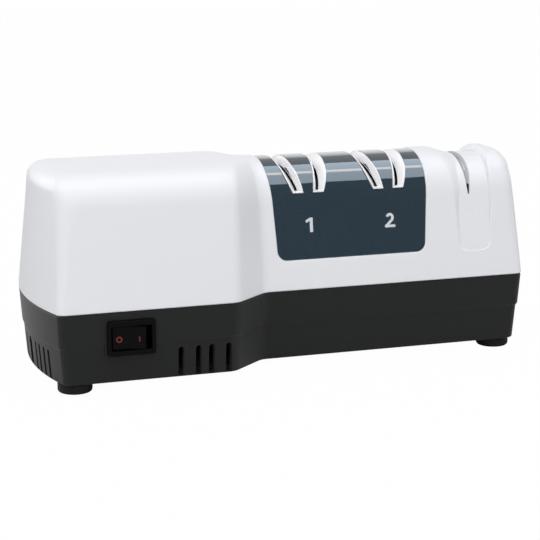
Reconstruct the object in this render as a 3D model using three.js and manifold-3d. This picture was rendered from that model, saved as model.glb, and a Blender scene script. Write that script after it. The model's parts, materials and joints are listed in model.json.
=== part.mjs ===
// An electric knife sharpener: a shaded-pole motor in a deep left section turns two pairs of sprung
// abrasive discs in a slimmer right section, beside a manual stage of two meshing roller sets.
// Millimetres. X runs along the body to the right, Y to the rear and Z up from the table.
import * as THREE from "three";
import { mergeVertices } from "three/addons/utils/BufferGeometryUtils.js";
import Module from "manifold-3d";

const wasm = await Module();
wasm.setup();

// Fits shared by every piece
const gap = 0.3;
const overrun = 4;
const weld = 0.0001;

// The mechanism's main sizes, which the housing follows
const stageNames = ["1", "2"];
const discRadius = 21;
const coreWidth = 56;
const yokeHeight = 14;
const coilThickness = 8.4;
const bobbinWall = 1.2;
const windowTop = 21;

// Heights from the table up to the shaft: feet, floor, coil, yoke and window
const footHeight = 5;
const floorThickness = 2.5;
const coilToFloor = 5.6;
const coilToWindow = 2.1;
const coilDepth = gap + bobbinWall + coilThickness;
const coreBelow = yokeHeight + coilDepth + coilToWindow + windowTop;
const shaftHeight = footHeight + floorThickness + coilToFloor + coilDepth + coreBelow;

// Distances along the body, from its left end to its right end
const endToMotor = 59.5;
const motorToJog = 34.4;
const jogRun = 19;
const jogToStage = 24.55;
const stagePitch = 42.35;
const stageToManual = 44.45;
const manualToEnd = 30.75;
const stagesSpan = stagePitch * (stageNames.length - 1);
const motorSection = endToMotor + motorToJog + jogRun;
const length = motorSection + jogToStage + stagesSpan + stageToManual + manualToEnd;
const leftEnd = -length / 2;
const rightEnd = length / 2;
const motorX = leftEnd + endToMotor;
const jogLeft = motorX + motorToJog;
const jogRight = jogLeft + jogRun;
const firstStageX = jogRight + jogToStage;
const manualX = rightEnd - manualToEnd;

// Housing outline: two depths joined by a slanted jog, with bowed ends. The walls lean in and turn
// over shoulders of their own radius into one flat top, which is narrow over the slim stages.
const coreToSide = 18.5;
const discToSide = 9;
const coverOverDiscs = 11.4;
const motorDepth = coreWidth + 2 * coreToSide;
const stageDepth = 2 * (discRadius + discToSide);
const height = shaftHeight + discRadius + coverOverDiscs;
const seamHeight = 39.3;
const endBow = 159;
const jogFillet = 8;
const jogLean = { left: 4.6, right: -2.4 };
const seamCorner = 4;
const shoulderCorner = 9;
const smallestCorner = 1;
const cornerTurnIn = 4;
const cornerShare = 0.45;
const endShoulder = 12;
const leftShoulder = 9.5;
const motorShoulder = 18;
const rearMotorShoulder = 21;
const stageShoulder = 24;
const frontDraft = 8;
const rearDraft = 4;
const leftDraft = 6;
const rightDraft = 4.5;

// Shells
const coverWall = 3;
const baseWall = 3.5;
const tongueThickness = 1.5;
const tongueHeight = 3;
const tongueRoot = 6;
const seamStep = 0.2;
const ledgeBelowSeam = 15.9;
const ledgeHeight = seamHeight - ledgeBelowSeam;
const ledgeFall = 1.2;
const ledgeWidth = 0.8;
const bandSideDraft = 3.2;
const bandEndDraft = 4;
const skirtSideDraft = 2.3;
const skirtEndDraft = 4.7;

// Glossy panel that wraps the powered stages from front to rear
const panelShift = 0.775;
const panelX = firstStageX + stagesSpan / 2 + panelShift;
const panelAboveSeam = 14.7;
const panelBottom = seamHeight + panelAboveSeam;
const panelHalfWidth = 39;
const panelLean = 3.5;
const panelCorner = 4.5;
const panelStep = 0.6;
const panelThickness = 0.6;

// Powered stages: each has two knife slots that lean apart towards the top
const slotDrop = 16;
const slotBottom = height - slotDrop;
const slotHalfSpacing = 5.3;
const slotTilt = 15.4;
const slotMouth = 4.7;
const slotFlare = 4.2;
const slotLip = 0.35;
const slitWidth = 1.8;

// Manual stage: a straight slot in a shallow channel that runs over the top
const manualDrop = 21.2;
const manualBottom = height - manualDrop;
const manualNeck = 1.6;
const manualNeckHeight = 4.3;
const manualNeckTop = manualBottom + manualNeckHeight;
const manualMouth = 4.7;
const manualMouthDrop = 6.4;
const manualMouthHeight = height - manualMouthDrop;
const channelShift = 1.3;
const channelX = manualX + channelShift;
const channelHalfWidth = 9.35;
const channelLean = 2.5;
const channelAboveSeam = 13.7;
const channelBottom = seamHeight + channelAboveSeam;
const channelCorner = 4.5;
const channelDepth = 3;
const channelWall = 2.5;
const channelInside = channelDepth + channelWall;

// Shaft line
const shaftRadius = 3;
const shaftFlat = 2.4;
const shaftBeyondMotor = 41;
const shaftBeyondPost = 8;
const runningGap = 0.3;

// Abrasive discs, their springs and the rings that stop them
const discThickness = 2;
const discFace = 5.2;
const discRim = 0.6;
const hubRadius = 6;
const hubLength = 0.9;
const ringRadius = 5.2;
const ringThickness = 0.8;
const grooveRadius = 2.2;
const springRadius = 8;
const springWire = 0.5;
const springTurns = 3;
const springSteps = 8;
const wireSides = 5;
const guideThickness = 1.6;
const guideStep = 0.4;
const guideBottom = slotBottom + guideStep;
const guideTopDrop = 5.5;
const dividerClearance = 0.6;

// Motor
const stackLength = 26;
const coreAbove = 25;
const windowWidth = 37;
const boreRadius = 15.5;
const rotorRadius = 15;
const rotorEndRing = 2.5;
const rotorEndRadius = 12;
const bobbinFlange = 1.4;
const shadeWire = 1.6;
const shadeReach = 8;
const shadeAngle = 45;
const bracketStandOff = 13;
const bracketThickness = 2.5;
const bracketWidth = 18;
const bracketLeg = 8;
const bracketEnd = 4;
const boltRadius = 2;
const boltHeadRadius = 3.8;
const boltHeadHeight = 2.4;
const bushRadius = 5;
const bushFlangeRadius = 7;
const bushFlange = 1.5;
const bushLength = 6;
const fanRadius = 24;
const fanWidth = 8;
const fanHubRadius = 6;
const fanBladeThickness = 1.4;
const fanBladeTurn = 28;
const fanBlades = 7;
const fanOffset = 9;
const padThickness = 2.4;
const padToCoil = 0.5;
const padWidth = (coreWidth - windowWidth) / 2 - padToCoil;
const padLength = 18;

// Right-hand shaft bearing
const postToManual = 27.75;
const postX = manualX - postToManual;
const postThickness = 5;
const postWidth = 22;
const postFlange = 16;
const postFlangeHeight = 3;

// Manual roller stage
const axleSpacing = 13;
const axleDrop = 26.4;
const axleHeight = height - axleDrop;
const axleRadius = 1.5;
const axleHeadRadius = 2.4;
const axleHead = 1;
const rollerRadius = 8.5;
const rollerHub = 3.2;
const rollerThickness = 1.4;
const rollerPitch = 4;
const rollerCount = 4;
const holderInside = 21;
const holderWall = 2;
const holderBelowAxle = 11.5;
const holderBottom = axleHeight - holderBelowAxle;
const holderGuide = 1.5;

// Switch
const switchFromEnd = 41.05;
const switchX = leftEnd + switchFromEnd;
const switchBelowSeam = 12.6;
const switchHeight = seamHeight - switchBelowSeam;
const bezelWidth = 22.6;
const bezelHeight = 16;
const bezelThickness = 1.2;
const seatSetBack = 0.6;
const seatMargin = 0.9;
const switchBodyWidth = 21.2;
const switchBodyHeight = 13.1;
const switchBodyWall = 0.9;
const switchBodyDepth = 12.5;
const rockerHalfLength = 8.2;
const rockerHeight = 10.7;
const rockerAngle = 10;
const rockerPivot = 6;
const rockerSink = 1.1;
const rockerBack = 3;
const rockerShrink = 1.4;
const rockerPin = 1.2;

// Vents
const ventWidth = 3;
const ventBelowLedge = 3.6;
const ventTop = ledgeHeight - ventBelowLedge;
const frontVentsFromJog = [28.1, 19.5, 13, 4.5];
const endVents = [28.9, 23, 16.6, 10.5];
const endVentWidth = 2.4;
const wideVentHalf = 2.8;

// Feet, screws and the clean-out plate underneath
const footRadius = 8.25;
const footFillet = 0.8;
const footStem = 3;
const footStemRise = 6;
const footFromEnd = { motor: 16.3, stage: 13.2 };
const footFromSide = { motor: 12, stage: 12.5 };
const screwFromSide = { motor: 9.5, stage: 12.5 };
const motorScrewShift = 2;
const stageScrewToManual = 16.75;
const motorFeet = { x: leftEnd + footFromEnd.motor, y: motorDepth / 2 - footFromSide.motor };
const stageFeet = { x: rightEnd - footFromEnd.stage, y: stageDepth / 2 - footFromSide.stage };
const motorScrews = { x: motorX - motorScrewShift, y: motorDepth / 2 - screwFromSide.motor };
const stageScrews = { x: manualX - stageScrewToManual, y: stageDepth / 2 - screwFromSide.stage };
const screwRadius = 2;
const screwHeadRadius = 3.6;
const screwHeadHeight = 2.6;
const screwLength = 24;
const screwBoss = 5.2;
const screwSeatBelowSeam = 12.3;
const screwSeat = seamHeight - screwSeatBelowSeam;
const plateShift = 3.9;
const plateX = panelX - plateShift;
const plateLength = 66;
const plateWidth = 30;
const plateLip = 2;
const plateThickness = 1.2;
const magnetLength = 40;
const magnetWidth = 8;
const magnetHeight = 4;

// Mains inlet, terminal block and internal leads
const inletFromEnd = 31.5;
const inletX = leftEnd + inletFromEnd;
const inletHeight = 14;
const inletRadius = 5;
const inletBore = 3.2;
const inletFlange = 1.6;
const inletFlangeRadius = 6.5;
const terminalShift = 2;
const terminalX = inletX - terminalShift;
const terminalY = 16;
const terminalSize = { x: 10, y: 18, z: 8 };
const leadRadius = 1;
const leadRun = 5;
const leadSpacing = 2.5;
const leadRise = 4.3;
const leadHeight = switchHeight + leadRise;
const tabSpacing = 4.5;
const leadSides = 6;
const leadSteps = 10;

// Finishes as seen from outside, with plain engineering colours inside
const whiteShell = { color: 0xe2e2e6, roughness: 0.38, metalness: 0 };
const darkShell = { color: 0x28292a, roughness: 0.5, metalness: 0 };
const slatePanel = { color: 0x323e47, roughness: 0.12, metalness: 0 };
const blackGloss = { color: 0x0c0c0d, roughness: 0.25, metalness: 0 };
const blackRubber = { color: 0x161616, roughness: 0.85, metalness: 0 };
const guidePlastic = { color: 0xe6e6e8, roughness: 0.45, metalness: 0 };
const steel = { color: 0x9fa3a6, roughness: 0.35, metalness: 1 };
const lamination = { color: 0x6f7376, roughness: 0.55, metalness: 1 };
const copper = { color: 0xa5592d, roughness: 0.4, metalness: 1 };
const bronze = { color: 0xa98142, roughness: 0.45, metalness: 1 };
const aluminium = { color: 0xb9bcbf, roughness: 0.4, metalness: 1 };
const abrasive = { color: 0x8a8d8f, roughness: 0.8, metalness: 0.6 };
const windingTape = { color: 0xc9b458, roughness: 0.7, metalness: 0 };
const nylon = { color: 0xd9d6c8, roughness: 0.6, metalness: 0 };
const leadRed = { color: 0x8d2320, roughness: 0.6, metalness: 0 };
const leadBlue = { color: 0x23408d, roughness: 0.6, metalness: 0 };
const magnetGrey = { color: 0x3b3b3d, roughness: 0.6, metalness: 0.4 };

const radians = THREE.MathUtils.degToRad;
const slope = (degrees) => Math.tan(radians(degrees));
const rows = { front: -1, rear: 1 };
const longWalls = {
  front: {
    motor: { draft: frontDraft, shoulder: motorShoulder },
    stage: { draft: frontDraft, shoulder: stageShoulder },
  },
  rear: {
    motor: { draft: rearDraft, shoulder: rearMotorShoulder },
    stage: { draft: rearDraft, shoulder: stageShoulder },
  },
};
const leftWall = { draft: leftDraft, shoulder: leftShoulder };
const rightWall = { draft: rightDraft, shoulder: endShoulder };
const stageXs = stageNames.map((_, i) => firstStageX + stagePitch * i);
const recess = panelStep + panelThickness + gap;

// Closed solids: a geometry is welded to shared vertices, and triangles of no area are dropped.
function solidOf(geometry) {
  let welded = geometry;
  if (!geometry.userData.welded) {
    const bare = new THREE.BufferGeometry();
    bare.setAttribute("position", geometry.getAttribute("position"));
    bare.setIndex(geometry.index);
    welded = mergeVertices(bare, weld);
  }
  const corners = welded.index.array;
  const faces = [];
  for (let i = 0; i < corners.length; i += 3) {
    const [a, b, c] = [corners[i], corners[i + 1], corners[i + 2]];
    if (a !== b && b !== c && c !== a) faces.push(a, b, c);
  }
  const mesh = new wasm.Mesh({
    numProp: 3,
    vertProperties: Float32Array.from(welded.getAttribute("position").array),
    triVerts: Uint32Array.from(faces),
  });
  return new wasm.Manifold(mesh);
}

function geometryOf(solid) {
  const mesh = solid.getMesh();
  const geometry = new THREE.BufferGeometry();
  geometry.setAttribute("position", new THREE.BufferAttribute(mesh.vertProperties, 3));
  geometry.setIndex(new THREE.BufferAttribute(mesh.triVerts, 1));
  geometry.userData.welded = true;
  return geometry;
}

function join(first, ...others) {
  return geometryOf(others.reduce((sum, other) => sum.add(solidOf(other)), solidOf(first)));
}

function cut(first, ...tools) {
  return geometryOf(tools.reduce((rest, tool) => rest.subtract(solidOf(tool)), solidOf(first)));
}

function common(first, second) {
  return geometryOf(solidOf(first).intersect(solidOf(second)));
}

// Plain forms
function box([x0, x1], [y0, y1], [z0, z1]) {
  const geometry = new THREE.BoxGeometry(x1 - x0, y1 - y0, z1 - z0);
  return geometry.translate((x0 + x1) / 2, (y0 + y1) / 2, (z0 + z1) / 2);
}

function about(middle, size) {
  return [middle - size / 2, middle + size / 2];
}

// A body of revolution from a closed profile of [radius, place along the axis]
function turned(axis, profile, sides = 16) {
  const points = profile.map(([radius, place]) => new THREE.Vector2(radius, place));
  const geometry = new THREE.LatheGeometry(points, sides);
  if (axis === "x") geometry.rotateZ(-Math.PI / 2);
  if (axis === "z") geometry.rotateX(Math.PI / 2);
  return geometry;
}

function rod(axis, radius, [start, end], sides) {
  return turned(axis, [[0, start], [radius, start], [radius, end], [0, end]], sides);
}

function tube(axis, outer, inner, [start, end], sides) {
  const profile = [[inner, start], [outer, start], [outer, end], [inner, end], [inner, start]];
  return turned(axis, profile, sides);
}

// A straight prism along an axis; its outline is in (Y, Z) for X, (X, Z) for Y and (X, Y) for Z.
function prism(axis, outline, [start, end], curveSegments = 5) {
  const shape = Array.isArray(outline) ? new THREE.Shape(outline) : outline;
  const options = { depth: end - start, bevelEnabled: false, curveSegments };
  const geometry = new THREE.ExtrudeGeometry(shape, options);
  if (axis === "y") return geometry.translate(0, 0, -end).rotateX(Math.PI / 2);
  geometry.translate(0, 0, start);
  if (axis === "z") return geometry;
  const [x, y, z] = [[1, 0, 0], [0, 1, 0], [0, 0, 1]].map((v) => new THREE.Vector3(...v));
  return geometry.applyMatrix4(new THREE.Matrix4().makeBasis(y, z, x));
}

// An arc that rounds a corner, given the directions back and on from it
function fillet(corner, back, on, radius, steps) {
  const u = back.clone().normalize();
  const v = on.clone().normalize();
  const half = Math.acos(u.dot(v)) / 2;
  const bisector = u.clone().add(v).normalize();
  const centre = corner.clone().addScaledVector(bisector, radius / Math.sin(half));
  const start = corner.clone().addScaledVector(u, radius / Math.tan(half)).sub(centre).angle();
  const end = corner.clone().addScaledVector(v, radius / Math.tan(half)).sub(centre).angle();
  const turn = end - start;
  const sweep = turn - 2 * Math.PI * Math.round(turn / (2 * Math.PI));
  return Array.from({ length: steps + 1 }, (_, i) => {
    const angle = start + (sweep * i) / steps;
    const spoke = new THREE.Vector2(Math.cos(angle), Math.sin(angle));
    return centre.clone().addScaledVector(spoke, radius);
  });
}

// A polygon whose corners [x, y, radius] are rounded
function rounded(corners, steps = 4) {
  const points = corners.map(([x, y]) => new THREE.Vector2(x, y));
  return points.flatMap((point, i) => {
    const radius = corners[i][2];
    if (!radius) return [point];
    const back = points.at(i - 1).clone().sub(point);
    const on = points[(i + 1) % points.length].clone().sub(point);
    return fillet(point, back, on, radius, steps);
  });
}

// One side of the housing's plan, drawn as at the front, from its left corner to its right corner.
// The inset of a side holds that of its motor and stage walls and its jog, which runs through two
// points and is moved in by an offset.
function planSide({ motor, stage, jog, offset }, { left, right }, corner, joint) {
  const steps = 3;
  const motorFace = -motorDepth / 2 + motor;
  const stageFace = -stageDepth / 2 + stage;
  const leftRadius = endBow - left;
  const rightRadius = endBow - right;
  const leftCentre = -length / 2 + endBow;
  const rightCentre = length / 2 - endBow;
  const run = jog[1].clone().sub(jog[0]).normalize();
  const outward = new THREE.Vector2(run.y, -run.x);
  const jogStart = jog[0].clone().addScaledVector(outward, -offset);
  const onJog = (y) => jogStart.clone().addScaledVector(run, (y - jogStart.y) / run.y);
  const leftReach = Math.sqrt(leftRadius ** 2 - motorFace ** 2);
  const rightReach = Math.sqrt(rightRadius ** 2 - stageFace ** 2);
  const leftPoint = new THREE.Vector2(leftCentre - leftReach, motorFace);
  const rightPoint = new THREE.Vector2(rightCentre + rightReach, stageFace);
  const leftBow = new THREE.Vector2(motorFace, leftReach);
  const rightBow = new THREE.Vector2(-stageFace, rightReach);
  const along = new THREE.Vector2(1, 0);
  const against = new THREE.Vector2(-1, 0);
  const back = run.clone().negate();
  const rightCorner = Math.min(corner, -stageFace * cornerShare);
  return [
    ...fillet(leftPoint, leftBow, along, corner, steps),
    ...fillet(onJog(motorFace), against, run, joint, steps),
    ...fillet(onJog(stageFace), back, along, joint, steps),
    ...fillet(rightPoint, against, rightBow, Math.max(rightCorner, smallestCorner / 2), steps),
  ];
}

// The points between two ends of a bow, left out at both ends
function bowBetween(from, to, centreX, radius, side) {
  const steps = 4;
  return Array.from({ length: steps - 1 }, (_, i) => {
    const y = THREE.MathUtils.lerp(from, to, (i + 1) / steps);
    return new THREE.Vector2(centreX + side * Math.sqrt(radius ** 2 - y ** 2), y);
  });
}

// The whole plan, anticlockwise from above, with every wall moved in by its own inset
function plan(inset, corner, joint = jogFillet) {
  const front = planSide(inset.front, inset, corner, joint);
  const mirrored = planSide(inset.rear, inset, corner, joint);
  const rear = mirrored.map((p) => new THREE.Vector2(p.x, -p.y)).reverse();
  const rightCentre = length / 2 - endBow;
  const leftCentre = -length / 2 + endBow;
  const rightEnd = bowBetween(front.at(-1).y, rear[0].y, rightCentre, endBow - inset.right, 1);
  const leftEnd = bowBetween(rear.at(-1).y, front[0].y, leftCentre, endBow - inset.left, -1);
  return [...front, ...rightEnd, ...rear, ...leftEnd];
}

// A closed skin through plans stacked at rising heights
function loft(levels) {
  const count = levels[0].points.length;
  const position = levels.flatMap(({ z, points }) => points.flatMap((p) => [p.x, p.y, z]));
  const faces = [];
  for (let row = 0; row + 1 < levels.length; row++) {
    for (let i = 0; i < count; i++) {
      const a = row * count + i;
      const b = row * count + ((i + 1) % count);
      faces.push(a, b, b + count, a, b + count, a + count);
    }
  }
  const top = (levels.length - 1) * count;
  const lids = [[0, levels[0].points, false], [top, levels.at(-1).points, true]];
  for (const [first, points, up] of lids) {
    for (const [a, b, c] of THREE.ShapeUtils.triangulateShape(points, [])) {
      faces.push(first + a, first + (up ? b : c), first + (up ? c : b));
    }
  }
  const geometry = new THREE.BufferGeometry();
  geometry.setAttribute("position", new THREE.Float32BufferAttribute(position, 3));
  geometry.setIndex(faces);
  return geometry;
}

// Inset at height z of a wall that leans in and turns over its shoulder, moved in by skin
function wallInset(z, { draft, shoulder }, skin) {
  const lean = radians(draft);
  const radius = shoulder - skin;
  const centre = height - shoulder;
  const sine = THREE.MathUtils.clamp((z - centre) / radius, Math.sin(lean), 1);
  const rise = Math.min(z, centre + radius * Math.sin(lean)) - seamHeight;
  const turned = radius * (Math.cos(lean) - Math.sqrt(1 - sine ** 2));
  return Math.tan(lean) * rise + skin / Math.cos(lean) + turned;
}

// The jog's outer line between a motor and a stage wall; its ends lean along the body by share.
function jogLine(motor, stage, share) {
  return [
    new THREE.Vector2(jogLeft + jogLean.left * share, -motorDepth / 2 + motor),
    new THREE.Vector2(jogRight + jogLean.right * share, -stageDepth / 2 + stage),
  ];
}

// Insets of the cover's walls at a height, moved in by skin
function coverInset(z, skin) {
  const side = ({ motor, stage }) => {
    const outer = [motor, stage].map((wall) => wallInset(z, wall, 0));
    const share = outer[0] / wallInset(height, motor, 0);
    const inset = { motor: wallInset(z, motor, skin), stage: wallInset(z, stage, skin) };
    return { ...inset, jog: jogLine(...outer, share), offset: skin };
  };
  const left = wallInset(z, leftWall, skin);
  const right = wallInset(z, rightWall, skin);
  return { front: side(longWalls.front), rear: side(longWalls.rear), left, right };
}

// The cover's outer form moved inwards by skin, from a height at or below the seam up to the top
function coverForm(skin, bottom = seamHeight) {
  const start = radians(frontDraft);
  const centre = height - stageShoulder;
  const radius = stageShoulder - skin;
  const arcSteps = 7;
  const corner = (z) => {
    const up = THREE.MathUtils.clamp((z - seamHeight) / (height - endShoulder - seamHeight), 0, 1);
    const over = THREE.MathUtils.clamp((z - height + endShoulder) / endShoulder, 0, 1);
    const grown = seamCorner + (shoulderCorner - seamCorner) * up;
    const turnedIn = cornerTurnIn * (1 - Math.sqrt(1 - over ** 2));
    return Math.max(grown - turnedIn - skin, smallestCorner);
  };
  const heights = [bottom];
  for (let i = 0; i <= arcSteps; i++) {
    const angle = THREE.MathUtils.lerp(start, Math.PI / 2, i / arcSteps);
    heights.push(centre + radius * Math.sin(angle));
  }
  return loft(heights.map((z) => ({ z, points: plan(coverInset(z, skin), corner(z)) })));
}

// Insets of the base's band above its ledge and of its skirt below, plus the same amount all round
function evenInset(side, end) {
  const wall = { motor: side, stage: side, jog: jogLine(0, 0, 0), offset: side };
  return { front: wall, rear: wall, left: end, right: end };
}

function bandInset(drop, extra) {
  const side = seamStep + slope(bandSideDraft) * drop + extra;
  const end = seamStep + slope(bandEndDraft) * drop + extra;
  return evenInset(side, end);
}

function skirtInset(drop, extra) {
  const top = bandInset(seamHeight - ledgeHeight, ledgeWidth + extra);
  const side = top.front.motor + slope(skirtSideDraft) * drop;
  const end = top.left + slope(skirtEndDraft) * drop;
  return evenInset(side, end);
}

// The base's outer form moved inwards by skin, between two heights
function baseForm(skin, bottom, top) {
  const corner = Math.max(seamCorner - skin, smallestCorner);
  const ledgeFoot = ledgeHeight - ledgeFall;
  const levels = [
    [bottom, skirtInset(ledgeFoot - bottom, skin)],
    [ledgeFoot, skirtInset(0, skin)],
    [ledgeHeight, bandInset(seamHeight - ledgeHeight, skin)],
    [top, bandInset(seamHeight - top, skin)],
  ];
  return loft(levels.map(([z, inset]) => ({ z, points: plan(inset, corner) })));
}

// A ring between two plans that follows the cover's walls
function coverBand(outerSkin, innerSkin, bottom, top) {
  const ringForm = (skin, low, high) => {
    const corner = Math.max(seamCorner - skin, smallestCorner);
    const points = (z) => plan(coverInset(Math.max(z, seamHeight), skin), corner);
    const level = (z) => ({ z, points: points(z) });
    return loft([level(low), level(high)]);
  };
  return cut(ringForm(outerSkin, bottom, top), ringForm(innerSkin, bottom - overrun, top + overrun));
}

// How far a powered slot's middle lies from its pair's middle at a height
const slotReach = (z) => slotHalfSpacing + slope(slotTilt) * (z - slotBottom);

// The middle of a powered slot at a height; side is -1 for the slot that leans left
const slotMiddle = (stageX, side, z) => stageX + side * slotReach(z);

// A slanted strip that follows one slot from front to rear, between two heights and two offsets
// from the slot's middle, which count away from the pair's middle and spread upwards by a slope
function slotStrip(stageX, side, [inner, outer], [bottom, top], spread = 0) {
  const wider = spread * (top - bottom);
  const at = (z, offset) => new THREE.Vector2(slotMiddle(stageX, side, z) + side * offset, z);
  const upper = [at(top, outer + wider), at(top, inner - wider)];
  const outline = [at(bottom, inner), at(bottom, outer), ...upper];
  return prism("y", side > 0 ? outline : outline.reverse(), about(0, motorDepth));
}

const flare = slope(slotFlare);

const everySlot = (make) => stageXs.flatMap((stageX) => [-1, 1].map((side) => make(stageX, side)));

// The panel's outline seen from the front, narrowed by clearance, run through the body
function panelZone(clearance) {
  const half = panelHalfWidth - clearance;
  const top = height + overrun;
  const topHalf = half + slope(panelLean) * (top - panelBottom);
  const bottom = panelBottom + clearance;
  const outline = rounded([
    [panelX - half, bottom, panelCorner],
    [panelX + half, bottom, panelCorner],
    [panelX + topHalf, top, 0],
    [panelX - topHalf, top, 0],
  ]);
  return prism("y", outline, about(0, motorDepth));
}

// The manual stage's channel: its outline seen from the front, widened by growth, run through the
// body
function channelZone(growth) {
  const half = channelHalfWidth + growth;
  const top = height + overrun;
  const topHalf = half + slope(channelLean) * (top - channelBottom);
  const bottom = channelBottom - growth;
  const outline = rounded([
    [channelX - half, bottom, channelCorner],
    [channelX + half, bottom, channelCorner],
    [channelX + topHalf, top, 0],
    [channelX - topHalf, top, 0],
  ]);
  return prism("y", outline, about(0, motorDepth));
}

// The manual slot: a narrow neck that opens to a wide mouth
function manualSlot() {
  const top = height + overrun;
  const halves = [
    [manualNeck / 2, manualBottom],
    [manualNeck / 2, manualNeckTop],
    [manualMouth / 2, manualMouthHeight],
    [manualMouth / 2, top],
  ];
  const right = halves.map(([half, z]) => new THREE.Vector2(manualX + half, z));
  const left = halves.map(([half, z]) => new THREE.Vector2(manualX - half, z)).reverse();
  return prism("y", [...right, ...left], about(0, motorDepth));
}

function screwSites() {
  const sites = { left: motorScrews, right: stageScrews };
  return Object.entries(sites).flatMap(([end, { x, y }]) =>
    Object.entries(rows).map(([row, side]) => ({ name: row + "_" + end, x, y: side * y })),
  );
}

function footSites() {
  const sites = { left: motorFeet, right: stageFeet };
  return Object.entries(sites).flatMap(([end, { x, y }]) =>
    Object.entries(rows).map(([row, side]) => ({ name: row + "_" + end, x, y: side * y })),
  );
}

const coreTop = shaftHeight + coreAbove;
const coreBottom = shaftHeight - coreBelow;

// The white cover: a shell with the panel's recess, rims round the slots, bosses and motor ribs
function coverShell() {
  const outer = coverForm(0);
  const rims = everySlot((stageX, side) =>
    slotStrip(stageX, side, about(0, slotMouth + 2 * slotLip), [slotBottom, height + overrun], flare),
  );
  const recessFloor = coverForm(recess, seamHeight - overrun);
  const panelRecess = cut(panelZone(0), recessFloor, ...rims);
  const channel = cut(channelZone(0), coverForm(channelDepth, seamHeight - overrun));
  const underChannel = cut(channelZone(channelWall), coverForm(channelInside, seamHeight - overrun));
  const hollow = cut(coverForm(coverWall, seamHeight - overrun), underChannel);
  const shell = cut(outer, panelRecess, channel, hollow);
  const screwTip = screwSeat + screwLength + gap;
  const bosses = screwSites().map(({ x, y }) =>
    rod("z", screwBoss, [seamHeight, height]).translate(x, y, 0),
  );
  const ribs = [-1, 1].map((side) =>
    box(
      about(motorX, padLength),
      about((side * windowWidth) / 2, padWidth / 2),
      [coreTop + gap, height],
    ),
  );
  const inside = coverForm(coverWall / 2);
  const supports = common(join(...bosses, ...ribs), inside);
  const pilots = screwSites().map(({ x, y }) =>
    rod("z", screwRadius + gap, [seamHeight - overrun, screwTip], 12).translate(x, y, 0),
  );
  const mouths = everySlot((stageX, side) =>
    slotStrip(stageX, side, about(0, slotMouth), [slotBottom + slotLip, height + overrun], flare),
  );
  return cut(join(shell, supports), ...pilots, ...mouths, manualSlot());
}

// The glossy skin that lies in the cover's recess, cut out round the rims
function panelSkin() {
  const outside = coverForm(panelStep, seamHeight - overrun);
  const inside = coverForm(panelStep + panelThickness, seamHeight - overrun - overrun);
  const band = common(cut(outside, inside), panelZone(gap));
  const across = about(0, slotMouth + 2 * slotLip + 2 * gap);
  const holes = everySlot((stageX, side) =>
    slotStrip(stageX, side, across, [slotBottom - gap, height + overrun], flare),
  );
  return cut(band, ...holes);
}

// A vent with a round head that is open at the bottom edge of the skirt
function ventOutline(middle, width) {
  const half = width / 2;
  const shape = new THREE.Shape();
  shape.moveTo(middle - half, footHeight - overrun);
  shape.lineTo(middle + half, footHeight - overrun);
  shape.lineTo(middle + half, ventTop - half);
  shape.absarc(middle, ventTop - half, half, 0, Math.PI, false);
  return shape;
}

const switchSeatY = -motorDepth / 2 + seatSetBack;
const baseTop = seamHeight - gap;
const floorTop = footHeight + floorThickness;
const wallInside = baseWall + skirtInset(ledgeHeight - footHeight, 0).left;

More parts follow.
